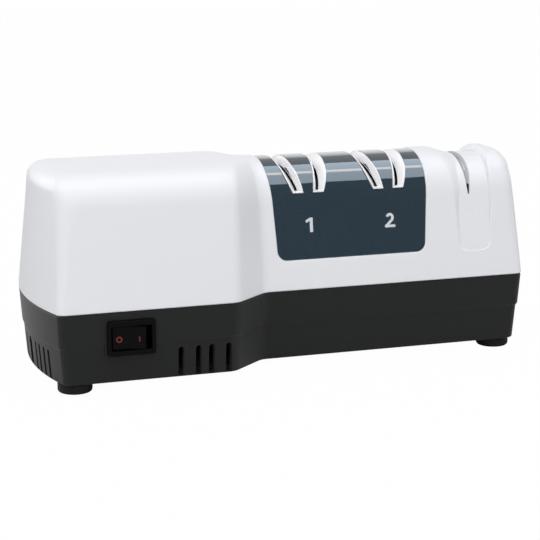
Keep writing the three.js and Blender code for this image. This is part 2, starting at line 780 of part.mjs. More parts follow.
// The dark base tub with its ledge, tongue, vents, switch seat, bosses and motor posts
function baseShell() {
  const outer = baseForm(0, footHeight, baseTop);
  const hollow = baseForm(baseWall, floorTop, baseTop + overrun);
  const tongueOuter = coverWall + gap;
  const band = coverBand(
    tongueOuter,
    tongueOuter + tongueThickness,
    seamHeight - tongueRoot,
    seamHeight + tongueHeight,
  );
  const notches = screwSites().map(({ x, y }) =>
    rod("z", screwBoss + gap, [baseTop, seamHeight + tongueHeight + overrun]).translate(x, y, 0),
  );
  const tongue = cut(band, ...notches);
  const seatY = [switchSeatY, -motorDepth / 2 + wallInside];
  const seatZ = about(switchHeight, bezelHeight + 2 * seatMargin);
  const seat = box(about(switchX, bezelWidth + 2 * seatMargin), seatY, seatZ);
  const bosses = screwSites().map(({ x, y }) =>
    rod("z", screwBoss, [floorTop - floorThickness / 2, baseTop]).translate(x, y, 0),
  );
  const posts = [-1, 1].map((side) =>
    box(
      about(motorX, padLength),
      about((side * (coreWidth - padWidth)) / 2, padWidth),
      [floorTop - floorThickness / 2, coreBottom - padThickness - 2 * gap],
    ),
  );
  const body = join(cut(outer, hollow), tongue, seat, ...bosses, ...posts);
  const switchHole = box(
    about(switchX, switchBodyWidth + 2 * gap),
    [-motorDepth / 2 - overrun, -motorDepth / 2 + wallInside + overrun],
    about(switchHeight, switchBodyHeight + 2 * gap),
  );
  const wallY = [-motorDepth / 2 - overrun, -motorDepth / 2 + wallInside];
  const front = frontVentsFromJog.map((back) => prism("y", ventOutline(jogLeft - back, ventWidth), wallY));
  const wallX = [-length / 2 - overrun, -length / 2 + wallInside];
  const ends = [
    ...endVents.flatMap((y) => [-y, y]).map((y) => prism("x", ventOutline(y, endVentWidth), wallX)),
    prism("x", ventOutline(0, 2 * wideVentHalf), wallX),
  ];
  const screwHoles = screwSites().flatMap(({ x, y }) => [
    rod("z", screwHeadRadius + gap, [footHeight - overrun, screwSeat]).translate(x, y, 0),
    rod("z", screwRadius + gap, [footHeight, baseTop + overrun], 12).translate(x, y, 0),
  ]);
  const footHoles = footSites().map(({ x, y }) =>
    rod("z", footStem + gap, [footHeight - overrun, floorTop + overrun], 12).translate(x, y, 0),
  );
  const inletHole = rod("y", inletRadius + gap, [motorDepth / 2 - wallInside, motorDepth / 2 + overrun]);
  inletHole.translate(inletX, 0, inletHeight);
  const plateHole = box(
    about(plateX, plateLength - 2 * plateLip),
    about(0, plateWidth - 2 * plateLip),
    [footHeight - overrun, floorTop + overrun],
  );
  const plateSeat = box(
    about(plateX, plateLength + 2 * gap),
    about(0, plateWidth + 2 * gap),
    [footHeight - overrun, footHeight + plateThickness + gap],
  );
  return cut(
    body,
    switchHole,
    ...front,
    ...ends,
    ...screwHoles,
    ...footHoles,
    inletHole,
    plateHole,
    plateSeat,
  );
}

// Scene graph helpers
const sharpener = new THREE.Group();

function frameAt(parent, x, y, z) {
  const group = new THREE.Group();
  group.position.set(x, y, z);
  parent.add(group);
  return group;
}

function piece(parent, name, geometry, finish) {
  const mesh = new THREE.Mesh(geometry, new THREE.MeshStandardMaterial(finish));
  mesh.name = name;
  parent.add(mesh);
  return mesh;
}

function addHousing() {
  piece(sharpener, "top_cover", coverShell(), whiteShell);
  piece(sharpener, "stage_panel", panelSkin(), slatePanel);
  piece(sharpener, "base_housing", baseShell(), darkShell);
}

function addFeet() {
  const profile = [
    [0, 0],
    [footRadius - footFillet, 0],
    [footRadius, footFillet],
    [footRadius, footHeight - gap],
    [footStem, footHeight - gap],
    [footStem, footHeight + footStemRise],
    [0, footHeight + footStemRise],
  ];
  for (const { name, x, y } of footSites()) {
    const foot = piece(sharpener, "foot_" + name, turned("z", profile), blackRubber);
    foot.position.set(x, y, 0);
  }
}

function addCaseScrews() {
  const profile = [
    [0, -screwHeadHeight],
    [screwHeadRadius, -screwHeadHeight],
    [screwHeadRadius, 0],
    [screwRadius, 0],
    [screwRadius, screwLength],
    [0, screwLength],
  ];
  for (const { name, x, y } of screwSites()) {
    const screw = piece(sharpener, "case_screw_" + name, turned("z", profile, 12), steel);
    screw.position.set(x, y, screwSeat - gap);
  }
}

// A plate that unclips downwards, with the bar magnet that holds the swarf on top of it
function addCleanOut() {
  const plate = frameAt(sharpener, plateX, 0, footHeight);
  const cover = box(about(0, plateLength), about(0, plateWidth), [0, plateThickness]);
  const plug = box(
    about(0, plateLength - 2 * plateLip - 2 * gap),
    about(0, plateWidth - 2 * plateLip - 2 * gap),
    [0, floorThickness],
  );
  const cheeks = [-1, 1].map((side) =>
    box(
      about((side * (magnetLength + 2 * gap + plateThickness)) / 2, plateThickness),
      about(0, magnetWidth),
      [0, floorThickness + magnetHeight / 2],
    ),
  );
  piece(plate, "clean_out_cover", join(cover, plug, ...cheeks), darkShell);
  const lift = floorThickness + gap;
  const magnet = box(about(0, magnetLength), about(0, magnetWidth), [lift, lift + magnetHeight]);
  piece(plate, "swarf_magnet", magnet, magnetGrey);
}

// A rocker in a bezel: the rest position has the off side pressed in
function addSwitch() {
  const unit = frameAt(sharpener, switchX, switchSeatY - gap, switchHeight);
  const bezel = box(about(0, bezelWidth), [-bezelThickness, 0], about(0, bezelHeight));
  const bodyY = [-bezelThickness, switchBodyDepth];
  const body = box(about(0, switchBodyWidth), bodyY, about(0, switchBodyHeight));
  const cavity = box(
    about(0, switchBodyWidth - 2 * switchBodyWall),
    [-bezelThickness - overrun, switchBodyDepth - switchBodyWall],
    about(0, switchBodyHeight - 2 * switchBodyWall),
  );
  const pivotY = rockerPivot + rockerSink - bezelThickness;
  const sockets = rod("z", rockerPin + gap, about(0, switchBodyHeight + 2 * overrun), 12);
  sockets.translate(0, pivotY, 0);
  piece(unit, "switch_housing", cut(join(bezel, body), cavity, sockets), blackGloss);
  const rise = rockerHalfLength * slope(rockerAngle);
  const backHalf = rockerHalfLength - rockerShrink;
  const outline = [
    [-rockerHalfLength, -rockerPivot - rise],
    [0, -rockerPivot],
    [rockerHalfLength, -rockerPivot - rise],
    [backHalf, rockerBack],
    [-backHalf, rockerBack],
  ].map(([x, y]) => new THREE.Vector2(x, y));
  const paddle = prism("z", outline, about(0, rockerHeight));
  const pins = rod("z", rockerPin, about(0, switchBodyHeight - switchBodyWall), 12);
  const rocker = piece(unit, "switch_rocker", join(paddle, pins), blackGloss);
  rocker.position.y = pivotY;
  rocker.rotation.z = -radians(rockerAngle);
}

const bracketX = stackLength / 2 + bracketStandOff;
const boltY = (boreRadius + coreWidth / 2) / 2;

// A flanged bush round the shaft line, with its flange on the side towards
function bearingBush(bore, towards) {
  const half = bushLength / 2;
  const profile = [
    [bore, -half],
    [bushRadius, -half],
    [bushRadius, half - bushFlange],
    [bushFlangeRadius, half - bushFlange],
    [bushFlangeRadius, half],
    [bore, half],
    [bore, -half],
  ];
  const bush = turned("x", profile);
  return towards > 0 ? bush : bush.rotateZ(Math.PI);
}

// A shading ring lies in a radial plane: one leg in the bore's rim, one through the core.
function shadingRing(angle) {
  const reach = stackLength / 2 + gap + shadeWire;
  const radial = [boreRadius, boreRadius + shadeReach];
  const ring = cut(
    box([-reach, reach], radial, about(0, shadeWire)),
    box(
      [-reach + shadeWire, reach - shadeWire],
      [radial[0] + shadeWire, radial[1] - shadeWire],
      about(0, shadeWire + overrun),
    ),
  );
  return ring.rotateX(angle);
}

function shadingHoles(angle) {
  const half = stackLength / 2 + overrun;
  const places = [boreRadius, boreRadius + shadeReach - shadeWire];
  return places.map((place) => {
    const radial = [place - gap, place + shadeWire + gap];
    return box([-half, half], radial, about(0, shadeWire + 2 * gap)).rotateX(angle);
  });
}

const shadeAngles = { upper: radians(shadeAngle), lower: radians(shadeAngle) + Math.PI };

// The core: a laminated frame with a round bore above and the coil's yoke below
function statorCore() {
  const through = about(0, stackLength + 2 * overrun);
  const frame = box(about(0, stackLength), about(0, coreWidth), [-coreBelow, coreAbove]);
  const window = box(through, about(0, windowWidth), [-coreBelow + yokeHeight, -windowTop]);
  const bore = rod("x", boreRadius, through, 24);
  const bolts = [-1, 1].map((side) =>
    rod("x", boltRadius + gap, through, 12).translate(0, side * boltY, 0),
  );
  return cut(frame, window, bore, ...bolts, ...Object.values(shadeAngles).flatMap(shadingHoles));
}

// A square tube along Y round the yoke, spaced from it by clearance, with a wall
function yokeSleeve(clearance, wall, width) {
  const middle = -coreBelow + yokeHeight / 2;
  const sleeve = (grow) => {
    const z = about(middle, yokeHeight + 2 * grow);
    return box(about(0, stackLength + 2 * grow), about(0, width), z);
  };
  const inner = sleeve(clearance).scale(1, 2, 1);
  return cut(sleeve(clearance + wall), inner);
}

function coilBobbin() {
  const width = windowWidth - 2 * gap;
  const tubeWall = yokeSleeve(gap, bobbinWall, width);
  const flange = yokeSleeve(gap, bobbinWall + coilThickness, bobbinFlange);
  const shift = (width - bobbinFlange) / 2;
  return join(tubeWall, flange.clone().translate(0, shift, 0), flange.translate(0, -shift, 0));
}

function motorBracket(side) {
  const plate = box(
    about(0, bracketThickness),
    about(0, 2 * boltY + 2 * bracketEnd),
    about(0, bracketWidth),
  );
  const legX = [-bracketStandOff + gap, 0].map((x) => side * x).sort((a, b) => a - b);
  const legs = [-1, 1].map((row) =>
    box(legX, about(row * boltY, bracketLeg), about(0, bracketWidth)),
  );
  const through = about(0, 2 * bracketStandOff + 2 * overrun);
  const bolts = [-1, 1].map((row) =>
    rod("x", boltRadius + gap, through, 12).translate(0, row * boltY, 0),
  );
  return cut(join(plate, ...legs), rod("x", bushRadius + gap, through), ...bolts);
}

// A hub with flat blades, each turned out of the plane of the wheel
function coolingFan() {
  const hub = tube("x", fanHubRadius, shaftRadius + gap, about(0, fanWidth));
  const blades = Array.from({ length: fanBlades }, (_, i) => {
    const length = fanWidth / Math.cos(radians(fanBladeTurn)) - fanBladeThickness;
    const root = (shaftRadius + fanHubRadius) / 2;
    const blade = box(about(0, length), about(0, fanBladeThickness), [root, fanRadius]);
    return blade.rotateZ(radians(fanBladeTurn)).rotateX((2 * Math.PI * i) / fanBlades);
  });
  return join(hub, ...blades);
}

function addMotor() {
  const motor = frameAt(sharpener, motorX, 0, shaftHeight);
  piece(motor, "stator_core", statorCore(), lamination);
  piece(motor, "coil_bobbin", coilBobbin(), nylon);
  const windingWidth = windowWidth - 2 * bobbinFlange - 4 * gap;
  const winding = yokeSleeve(2 * gap + bobbinWall, coilThickness - 2 * gap, windingWidth);
  piece(motor, "motor_coil", winding, windingTape);
  for (const [name, angle] of Object.entries(shadeAngles)) {
    piece(motor, "shading_ring_" + name, shadingRing(angle), copper);
  }
  const half = stackLength / 2;
  const bore = shaftRadius + gap;
  const rotorProfile = [
    [bore, -half - rotorEndRing],
    [rotorEndRadius, -half - rotorEndRing],
    [rotorEndRadius, -half],
    [rotorRadius, -half],
    [rotorRadius, half],
    [rotorEndRadius, half],
    [rotorEndRadius, half + rotorEndRing],
    [bore, half + rotorEndRing],
    [bore, -half - rotorEndRing],
  ];
  piece(motor, "rotor", turned("x", rotorProfile, 24), aluminium);
  for (const [name, side] of [["left", -1], ["right", 1]]) {
    const end = frameAt(motor, side * bracketX, 0, 0);
    piece(end, "motor_bracket_" + name, motorBracket(side), steel);
    piece(end, "shaft_bush_" + name, bearingBush(shaftRadius + runningGap, -side), bronze);
  }
  const reach = bracketX + bracketThickness / 2 + gap;
  const boltProfile = [
    [0, -reach - boltHeadHeight],
    [boltHeadRadius, -reach - boltHeadHeight],
    [boltHeadRadius, -reach],
    [boltRadius, -reach],
    [boltRadius, reach + boltHeadHeight],
    [0, reach + boltHeadHeight],
  ];
  for (const [name, row] of [["front", -1], ["rear", 1]]) {
    const bolt = piece(motor, "motor_bolt_" + name, turned("x", boltProfile, 12), steel);
    bolt.position.y = row * boltY;
    const pad = box(about(0, padLength), about(0, padWidth), [-padThickness, 0]);
    const seat = piece(motor, "motor_pad_" + name, pad, blackRubber);
    seat.position.set(0, (row * (coreWidth - padWidth)) / 2, -coreBelow - gap);
  }
  const fan = piece(motor, "cooling_fan", coolingFan(), nylon);
  fan.position.x = -bracketX - fanOffset;
}

const ringPlace = discFace + gap;
const flatEnd = ringPlace + ringThickness + gap;

// The shaft has two flats under the discs, a groove for each ring and a slimmer right journal.
function driveShaft() {
  const shoulder = stageXs.at(-1) + flatEnd;
  const body = rod("x", shaftRadius, [motorX - shaftBeyondMotor, shoulder]);
  const journal = rod("x", shaftFlat, [shoulder - overrun, postX + shaftBeyondPost]);
  const flats = [-1, 1].map((side) => {
    const z = [side * shaftFlat, side * (shaftRadius + overrun)].sort((a, b) => a - b);
    return box([stageXs[0] - flatEnd, shoulder + overrun], about(0, 2 * shaftRadius + overrun), z);
  });
  const grooves = everySlot((stageX, side) => {
    const edges = [ringPlace - gap, flatEnd].map((place) => stageX + side * place);
    return tube("x", shaftRadius + overrun, grooveRadius, edges.sort((a, b) => a - b));
  });
  return cut(join(body, journal), ...flats, ...grooves);
}

// A disc with its abrasive face outwards and a short hub that slides on the shaft's flats
function abrasiveDisc() {
  const back = discFace - discThickness;
  const profile = [
    [0, back - hubLength],
    [hubRadius, back - hubLength],
    [hubRadius, back],
    [discRadius, back],
    [discRadius - discRim, discFace],
    [0, discFace],
  ];
  const through = [-discFace, 2 * discFace];
  const flats = box(through, about(0, 2 * shaftRadius + overrun), about(0, 2 * shaftFlat + 2 * gap));
  const bore = common(rod("x", shaftRadius + gap, through), flats);
  return cut(turned("x", profile, 24), bore);
}

// A wire wound as an open helix along X, closed by a lid at each end
function springCoil(wireRadius, coilRadius, halfLength) {
  const rings = springTurns * springSteps + 1;
  const position = [];
  const faces = [];
  for (let i = 0; i < rings; i++) {
    const share = i / (rings - 1);
    const angle = 2 * Math.PI * springTurns * share;
    const x = THREE.MathUtils.lerp(-halfLength, halfLength, share);
    for (let j = 0; j < wireSides; j++) {
      const around = (2 * Math.PI * j) / wireSides;
      const radius = coilRadius + wireRadius * Math.cos(around);
      position.push(x + wireRadius * Math.sin(around), radius * Math.cos(angle), radius * Math.sin(angle));
    }
  }
  for (let i = 0; i + 1 < rings; i++) {
    for (let j = 0; j < wireSides; j++) {
      const a = i * wireSides + j;
      const b = i * wireSides + ((j + 1) % wireSides);
      faces.push(a, a + wireSides, b, b, a + wireSides, b + wireSides);
    }
  }
  const last = (rings - 1) * wireSides;
  for (let j = 1; j + 1 < wireSides; j++) {
    faces.push(0, j, j + 1, last, last + j + 1, last + j);
  }
  const geometry = new THREE.BufferGeometry();
  geometry.setAttribute("position", new THREE.Float32BufferAttribute(position, 3));
  geometry.setIndex(faces);
  return geometry;
}

const guideTop = height - guideTopDrop;

// The wedge between a pair's two slits, over the discs, that reaches from front to rear shoulder
function stageDivider(stageX) {
  const bottom = shaftHeight + discRadius + dividerClearance;
  const half = (z) => slotReach(z) - slitWidth / 2;
  const outline = [
    new THREE.Vector2(stageX - half(bottom), bottom),
    new THREE.Vector2(stageX + half(bottom), bottom),
    new THREE.Vector2(stageX + half(guideTop), guideTop),
    new THREE.Vector2(stageX - half(guideTop), guideTop),
  ];
  return common(prism("y", outline, about(0, motorDepth)), coverForm(coverWall + gap));
}

function knifeGuide(stageX, side) {
  const across = [slitWidth / 2, slitWidth / 2 + guideThickness];
  const strip = slotStrip(stageX, side, across, [guideBottom, guideTop]);
  return common(strip, coverForm(coverWall + gap));
}

function addStages() {
  const line = frameAt(sharpener, 0, 0, shaftHeight);
  piece(line, "drive_shaft", driveShaft(), steel);
  stageNames.forEach((name, i) => {
    const stage = frameAt(line, stageXs[i], 0, 0);
    for (const [letter, side] of [["a", -1], ["b", 1]]) {
      const turn = side > 0 ? 0 : Math.PI;
      const disc = piece(stage, "abrasive_disc_" + name + letter, abrasiveDisc(), abrasive);
      disc.rotation.z = turn;
      const ring = tube("x", ringRadius, grooveRadius + gap, [ringPlace, ringPlace + ringThickness]);
      piece(stage, "retaining_ring_" + name + letter, ring, steel).rotation.z = turn;
      const guide = knifeGuide(stageXs[i], side);
      piece(sharpener, "knife_guide_" + name + letter, guide, guidePlastic);
    }
    const room = discFace - discThickness - gap - springWire;
    piece(stage, "disc_spring_" + name, springCoil(springWire, springRadius, room), steel);
    piece(sharpener, "slot_divider_" + name, stageDivider(stageXs[i]), darkShell);
  });
  const post = frameAt(sharpener, postX, 0, 0);
  const thick = about(0, postThickness);
  const outline = new THREE.Shape();
  outline.moveTo(-postWidth / 2, floorTop + gap);
  outline.lineTo(postWidth / 2, floorTop + gap);
  outline.lineTo(postWidth / 2, shaftHeight);
  outline.absarc(0, shaftHeight, postWidth / 2, 0, Math.PI, false);
  const flangeZ = [floorTop + gap, floorTop + gap + postFlangeHeight];
  const flange = box(about(0, postFlange), about(0, postWidth), flangeZ);
  const bore = rod("x", bushRadius + gap, about(0, postThickness + overrun));
  const bracket = cut(join(prism("x", outline, thick), flange), bore.translate(0, 0, shaftHeight));
  piece(post, "end_bearing_bracket", bracket, steel);
  const bush = piece(post, "shaft_bush_end", bearingBush(shaftFlat + runningGap, 1), bronze);
  bush.position.set(bushFlange, 0, shaftHeight);
}

// Thin wheels on one hub along Y, set off along it so that two sets mesh
function rollerSet(side) {
  const bore = axleRadius + runningGap;
  const half = holderInside / 2 - gap;
  const profile = [[bore, -half], [rollerHub, -half]];
  for (let i = 0; i < rollerCount; i++) {
    const middle = (i - (rollerCount - 1) / 2) * rollerPitch + (side * rollerPitch) / 4;
    const [low, high] = about(middle, rollerThickness);
    profile.push([rollerHub, low], [rollerRadius, low], [rollerRadius, high], [rollerHub, high]);
  }
  profile.push([rollerHub, half], [bore, half], [bore, -half]);
  return turned("y", profile);
}

function rollerAxle() {
  const half = holderInside / 2 + holderWall + gap;
  const profile = [
    [0, -half - axleHead],
    [axleHeadRadius, -half - axleHead],
    [axleHeadRadius, -half],
    [axleRadius, -half],
    [axleRadius, half],
    [axleHeadRadius, half],
    [axleHeadRadius, half + axleHead],
    [0, half + axleHead],
  ];
  return turned("y", profile, 12);
}

// Two end plates on a floor carry the axles, and two leaning walls lead the blade to the wheels.
function rollerHolder() {
  const halfX = axleSpacing / 2 + rollerRadius - axleRadius;
  const wallY = holderInside / 2 + holderWall;
  const top = height - channelInside - gap;
  const plates = [-1, 1].map((side) => {
    const edges = [side * wallY, side * (wallY - holderWall)].sort((a, b) => a - b);
    return box(about(manualX, 2 * halfX), edges, [holderBottom, top]);
  });
  const floorZ = [holderBottom, holderBottom + holderWall];
  const base = box(about(manualX, 2 * halfX), [-wallY, wallY], floorZ);
  const lead = [
    [manualNeck / 2 + holderGuide, manualNeckTop],
    [manualMouth / 2 + holderGuide, top],
  ];
  const right = lead.map(([half, z]) => new THREE.Vector2(manualX + half, z));
  const left = lead.map(([half, z]) => new THREE.Vector2(manualX - half, z)).reverse();
  const walls = prism("y", [...right, ...left], [-wallY, wallY]);
  const bores = [-1, 1].map((side) => {
    const bore = rod("y", axleRadius + gap, about(0, 2 * wallY + overrun), 12);
    return bore.translate(manualX + (side * axleSpacing) / 2, 0, axleHeight);
  });
  const holder = cut(join(base, ...plates, walls), manualSlot(), ...bores);
  return common(holder, coverForm(channelInside + gap));
}

function addManualStage() {
  piece(sharpener, "roller_holder", rollerHolder(), guidePlastic);
  const stage = frameAt(sharpener, manualX, 0, axleHeight);
  for (const [name, side] of [["left", -1], ["right", 1]]) {
    const line = frameAt(stage, (side * axleSpacing) / 2, 0, 0);
    piece(line, "roller_axle_" + name, rollerAxle(), steel);
    piece(line, "roller_set_" + name, rollerSet(side), abrasive);
  }
}

function lead(points) {
  const route = new THREE.CatmullRomCurve3(points.map((point) => new THREE.Vector3(...point)));
  const section = Array.from({ length: leadSides }, (_, i) => {
    const angle = (2 * Math.PI * i) / leadSides;
    return new THREE.Vector2(leadRadius * Math.cos(angle), leadRadius * Math.sin(angle));
  });
  const options = { steps: leadSteps, bevelEnabled: false, extrudePath: route };
  return new THREE.ExtrudeGeometry(new THREE.Shape(section), options);
}

function addWiring() {
  const wallY = motorDepth / 2 - skirtInset(ledgeHeight - ledgeFall - inletHeight, 0).rear.motor;
  const bushProfile = [
    [inletBore, -baseWall - inletFlange],
    [inletRadius, -baseWall - inletFlange],
    [inletRadius, gap],
    [inletFlangeRadius, gap],
    [inletFlangeRadius, gap + inletFlange],
    [inletBore, gap + inletFlange],
    [inletBore, -baseWall - inletFlange],
  ];
  const bush = piece(sharpener, "cord_inlet_bush", turned("y", bushProfile), blackRubber);
  bush.position.set(inletX, wallY + gap, inletHeight);
  const block = terminalSize;
  const terminal = box(about(0, block.x), about(0, block.y), [0, block.z]);
  const seat = piece(sharpener, "terminal_block", terminal, nylon);
  seat.position.set(terminalX, terminalY, floorTop + gap);
  const blockFace = terminalY - block.y / 2 - gap;
  const blockHeight = floorTop + gap + block.z / 2;
  const switchBack = switchSeatY + switchBodyDepth;
  const coilSide = motorX - stackLength / 2 - bobbinWall - coilThickness - 3 * gap;
  const routes = {
    lead_live: [
      [terminalX - leadSpacing, blockFace, blockHeight],
      [terminalX - leadSpacing, blockFace - leadRun, blockHeight],
      [switchX - tabSpacing, switchBack + leadRun, switchHeight],
      [switchX - tabSpacing, switchBack, switchHeight],
    ],
    lead_switched: [
      [switchX, switchBack, switchHeight],
      [switchX, switchBack + leadRun / 2, switchHeight],
      [coilSide - leadSpacing, -windowWidth / 2 - leadSpacing, leadHeight],
      [coilSide - leadSpacing, -windowWidth / 2 + leadRun, leadHeight],
      [coilSide, -windowWidth / 4, leadHeight],
    ],
    lead_neutral: [
      [terminalX + leadSpacing, blockFace, blockHeight],
      [terminalX + leadSpacing, blockFace - leadSpacing, blockHeight],
      [coilSide - leadSpacing, windowWidth / 4, leadHeight - leadRun],
      [coilSide, windowWidth / 4, leadHeight - leadRun],
    ],
  };
  piece(sharpener, "lead_live", lead(routes.lead_live), leadRed);
  piece(sharpener, "lead_switched", lead(routes.lead_switched), leadRed);
  piece(sharpener, "lead_neutral", lead(routes.lead_neutral), leadBlue);
}

addHousing();
addFeet();
addCaseScrews();
addCleanOut();
addSwitch();
addMotor();
addStages();
addManualStage();
addWiring();

export default sharpener;
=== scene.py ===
# %% [markdown]
# # An electric knife sharpener, dressed for its photograph
#
# The imported CAD model is the fixed frame: it says where every piece is and how it moves. This
# lesson makes finer skins for the pieces that can be seen, and better finishes for all of them.
# The first step only loads the frame.

import json

import bmesh
import bpy
import numpy as np
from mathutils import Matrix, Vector


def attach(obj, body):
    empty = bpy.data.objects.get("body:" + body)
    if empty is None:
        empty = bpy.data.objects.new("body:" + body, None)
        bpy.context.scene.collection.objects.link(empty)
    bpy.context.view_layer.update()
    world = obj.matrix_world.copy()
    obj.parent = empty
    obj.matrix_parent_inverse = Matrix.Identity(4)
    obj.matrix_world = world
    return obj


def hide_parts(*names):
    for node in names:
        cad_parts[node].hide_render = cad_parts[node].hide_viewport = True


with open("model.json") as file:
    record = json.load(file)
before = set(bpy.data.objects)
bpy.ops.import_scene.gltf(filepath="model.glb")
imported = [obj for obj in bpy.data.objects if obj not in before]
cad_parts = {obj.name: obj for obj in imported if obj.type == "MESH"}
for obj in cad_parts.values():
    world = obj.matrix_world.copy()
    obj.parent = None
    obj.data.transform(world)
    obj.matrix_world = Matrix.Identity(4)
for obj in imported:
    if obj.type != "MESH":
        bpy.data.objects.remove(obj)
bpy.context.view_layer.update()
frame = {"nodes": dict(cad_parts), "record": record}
nodes = frame["nodes"]
MM = 0.001

# %% [markdown]
# ## The camera
#
# The photograph was taken from the left, a little above the sharpener, with a moderately long
# lens. The place and the turn below came from fitting straight edges of the housing to the
# picture. The camera is made first, because every later step is judged through it.

# %% Camera
CAMERA_PLACE = (-277.3, -799.1, 223.3)
CAMERA_TURN = (78.01, 0, -19)
LENS, SENSOR = 114.0, 36.0


def put(name, data, place=(0, 0, 0)):
    """Puts an object with its data into the scene, at a place in millimetres."""
    made = bpy.data.objects.new(name, data)
    made.location = np.array(place) * MM
    bpy.context.scene.collection.objects.link(made)
    return made


camera_data = bpy.data.cameras.new("camera")
camera_data.lens, camera_data.sensor_width = LENS, SENSOR
camera = put("camera", camera_data, CAMERA_PLACE)
camera.rotation_euler = np.radians(CAMERA_TURN)
bpy.context.scene.camera = camera
print("camera:", LENS, "mm lens")

# %% [markdown]
# ## Colours and nodes
#
# Colours are written as they look on a screen, in sRGB hex, and one function turns them to the
# linear values that a shader works in. A second function adds one node: its settings are
# attributes, and each of its inputs is either a plain value or the output of an earlier node.

# %% Helpers for colours and nodes
def linear(colour):
    """sRGB hex to linear RGBA: below 0.04045 a straight line, above it a 2.4 power."""
    srgb = np.array([int(colour[i : i + 2], 16) for i in (1, 3, 5)]) / 255
    rgb = np.where(srgb <= 0.04045, srgb / 12.92, ((srgb + 0.055) / 1.055) ** 2.4)
    return (*rgb.tolist(), 1.0)


def add(tree, kind, inputs=None, **settings):
    """Adds a node with its settings; an input is a value, or an output socket to link."""
    node = tree.nodes.new("ShaderNode" + kind)
    for key, value in settings.items():
        setattr(node, key, value)
    for key, value in (inputs or {}).items():
        if isinstance(value, bpy.types.NodeSocket):
            tree.links.new(value, node.inputs[key])
        else:
            node.inputs[key].default_value = value
    return node


def new_tree(owner):
    """An empty node tree on a material or world."""
    owner.use_nodes = True
    owner.node_tree.nodes.clear()
    return owner.node_tree


print("#E1E2E6 in linear light:", np.round(linear("#E1E2E6"), 3))

# %% [markdown]
# ## One recipe for a surface
#
# Each real finish here is a base colour with a fine pattern from how it was made: spark-eroded
# grain in a mould, pores in sintered bronze, sheets in a motor core. So one recipe serves them
# all. Object coordinates, in metres, are stretched and fed to one pattern whose size is given in
# millimetres. The pattern mixes two close colours, spreads the roughness and lifts a bump.
# Values that are the same all over go straight on the shader's own sockets.

# %% The surface recipe
MIX_COLOUR = {"factor": 0, "a": 6, "b": 7, "result": 2}
PATTERN_SCALE = {"TexNoise": 1000, "TexVoronoi": 1000, "TexWave": 314}
PATTERN_OUTPUT = {"TexNoise": "Fac", "TexVoronoi": "Distance", "TexWave": "Fac"}


def surface(name, colours, roughness, pattern, size, relief=0.0, stretch=(1, 1, 1), **shader):
    """A material from two close colours, a (low, high) roughness and a pattern of size mm.

    The relief is the height of the bump in millimetres. Other names are shader sockets."""
    material = bpy.data.materials.new(name)
    tree = new_tree(material)
    place = add(tree, "TexCoord").outputs["Object"]
    stretched = add(tree, "Mapping", {"Vector": place, "Scale": stretch}).outputs["Vector"]
    scale = PATTERN_SCALE[pattern] / size
    drawn = add(tree, pattern, {"Vector": stretched, "Scale": scale})
    share = drawn.outputs[PATTERN_OUTPUT[pattern]]
    mixed = add(tree, "Mix", {
        MIX_COLOUR["factor"]: share,
        MIX_COLOUR["a"]: linear(colours[0]),
        MIX_COLOUR["b"]: linear(colours[1]),
    }, data_type="RGBA")
    spread = add(tree, "MapRange", {
        "Value": share, "To Min": roughness[0], "To Max": roughness[1],
    })
    inputs = {
        "Base Color": mixed.outputs[MIX_COLOUR["result"]],
        "Roughness": spread.outputs["Result"],
        **shader,
    }
    if relief:
        bump = add(tree, "Bump", {"Height": share, "Distance": relief * MM, "Strength": 1.0})
        inputs["Normal"] = bump.outputs["Normal"]
    bsdf = add(tree, "BsdfPrincipled", inputs)
    add(tree, "OutputMaterial", {"Surface": bsdf.outputs["BSDF"]})
    return material


print("patterns:", ", ".join(PATTERN_SCALE))

# %% [markdown]
# ## The finishes seen from outside
#
# The cover is white ABS from a finely textured mould, so it is satin and shows broad, soft
# highlights. The base is black ABS with a coarser, spark-eroded grain that takes the gloss off.
# The panel is polished and lacquered, almost a dark mirror. The slot frames are acetal, a shade
# whiter and glossier than the cover. The switch is smooth polyamide with small highlights, and the
# feet are matt rubber that hardly shows any. The digits and the switch marks are pad-printed, so
# they lie flat and dull on the gloss. The screws below are turned steel with a zinc plating, a
# bright metal with a slightly broken shine. All but the two inks are named after the record's
# slots.

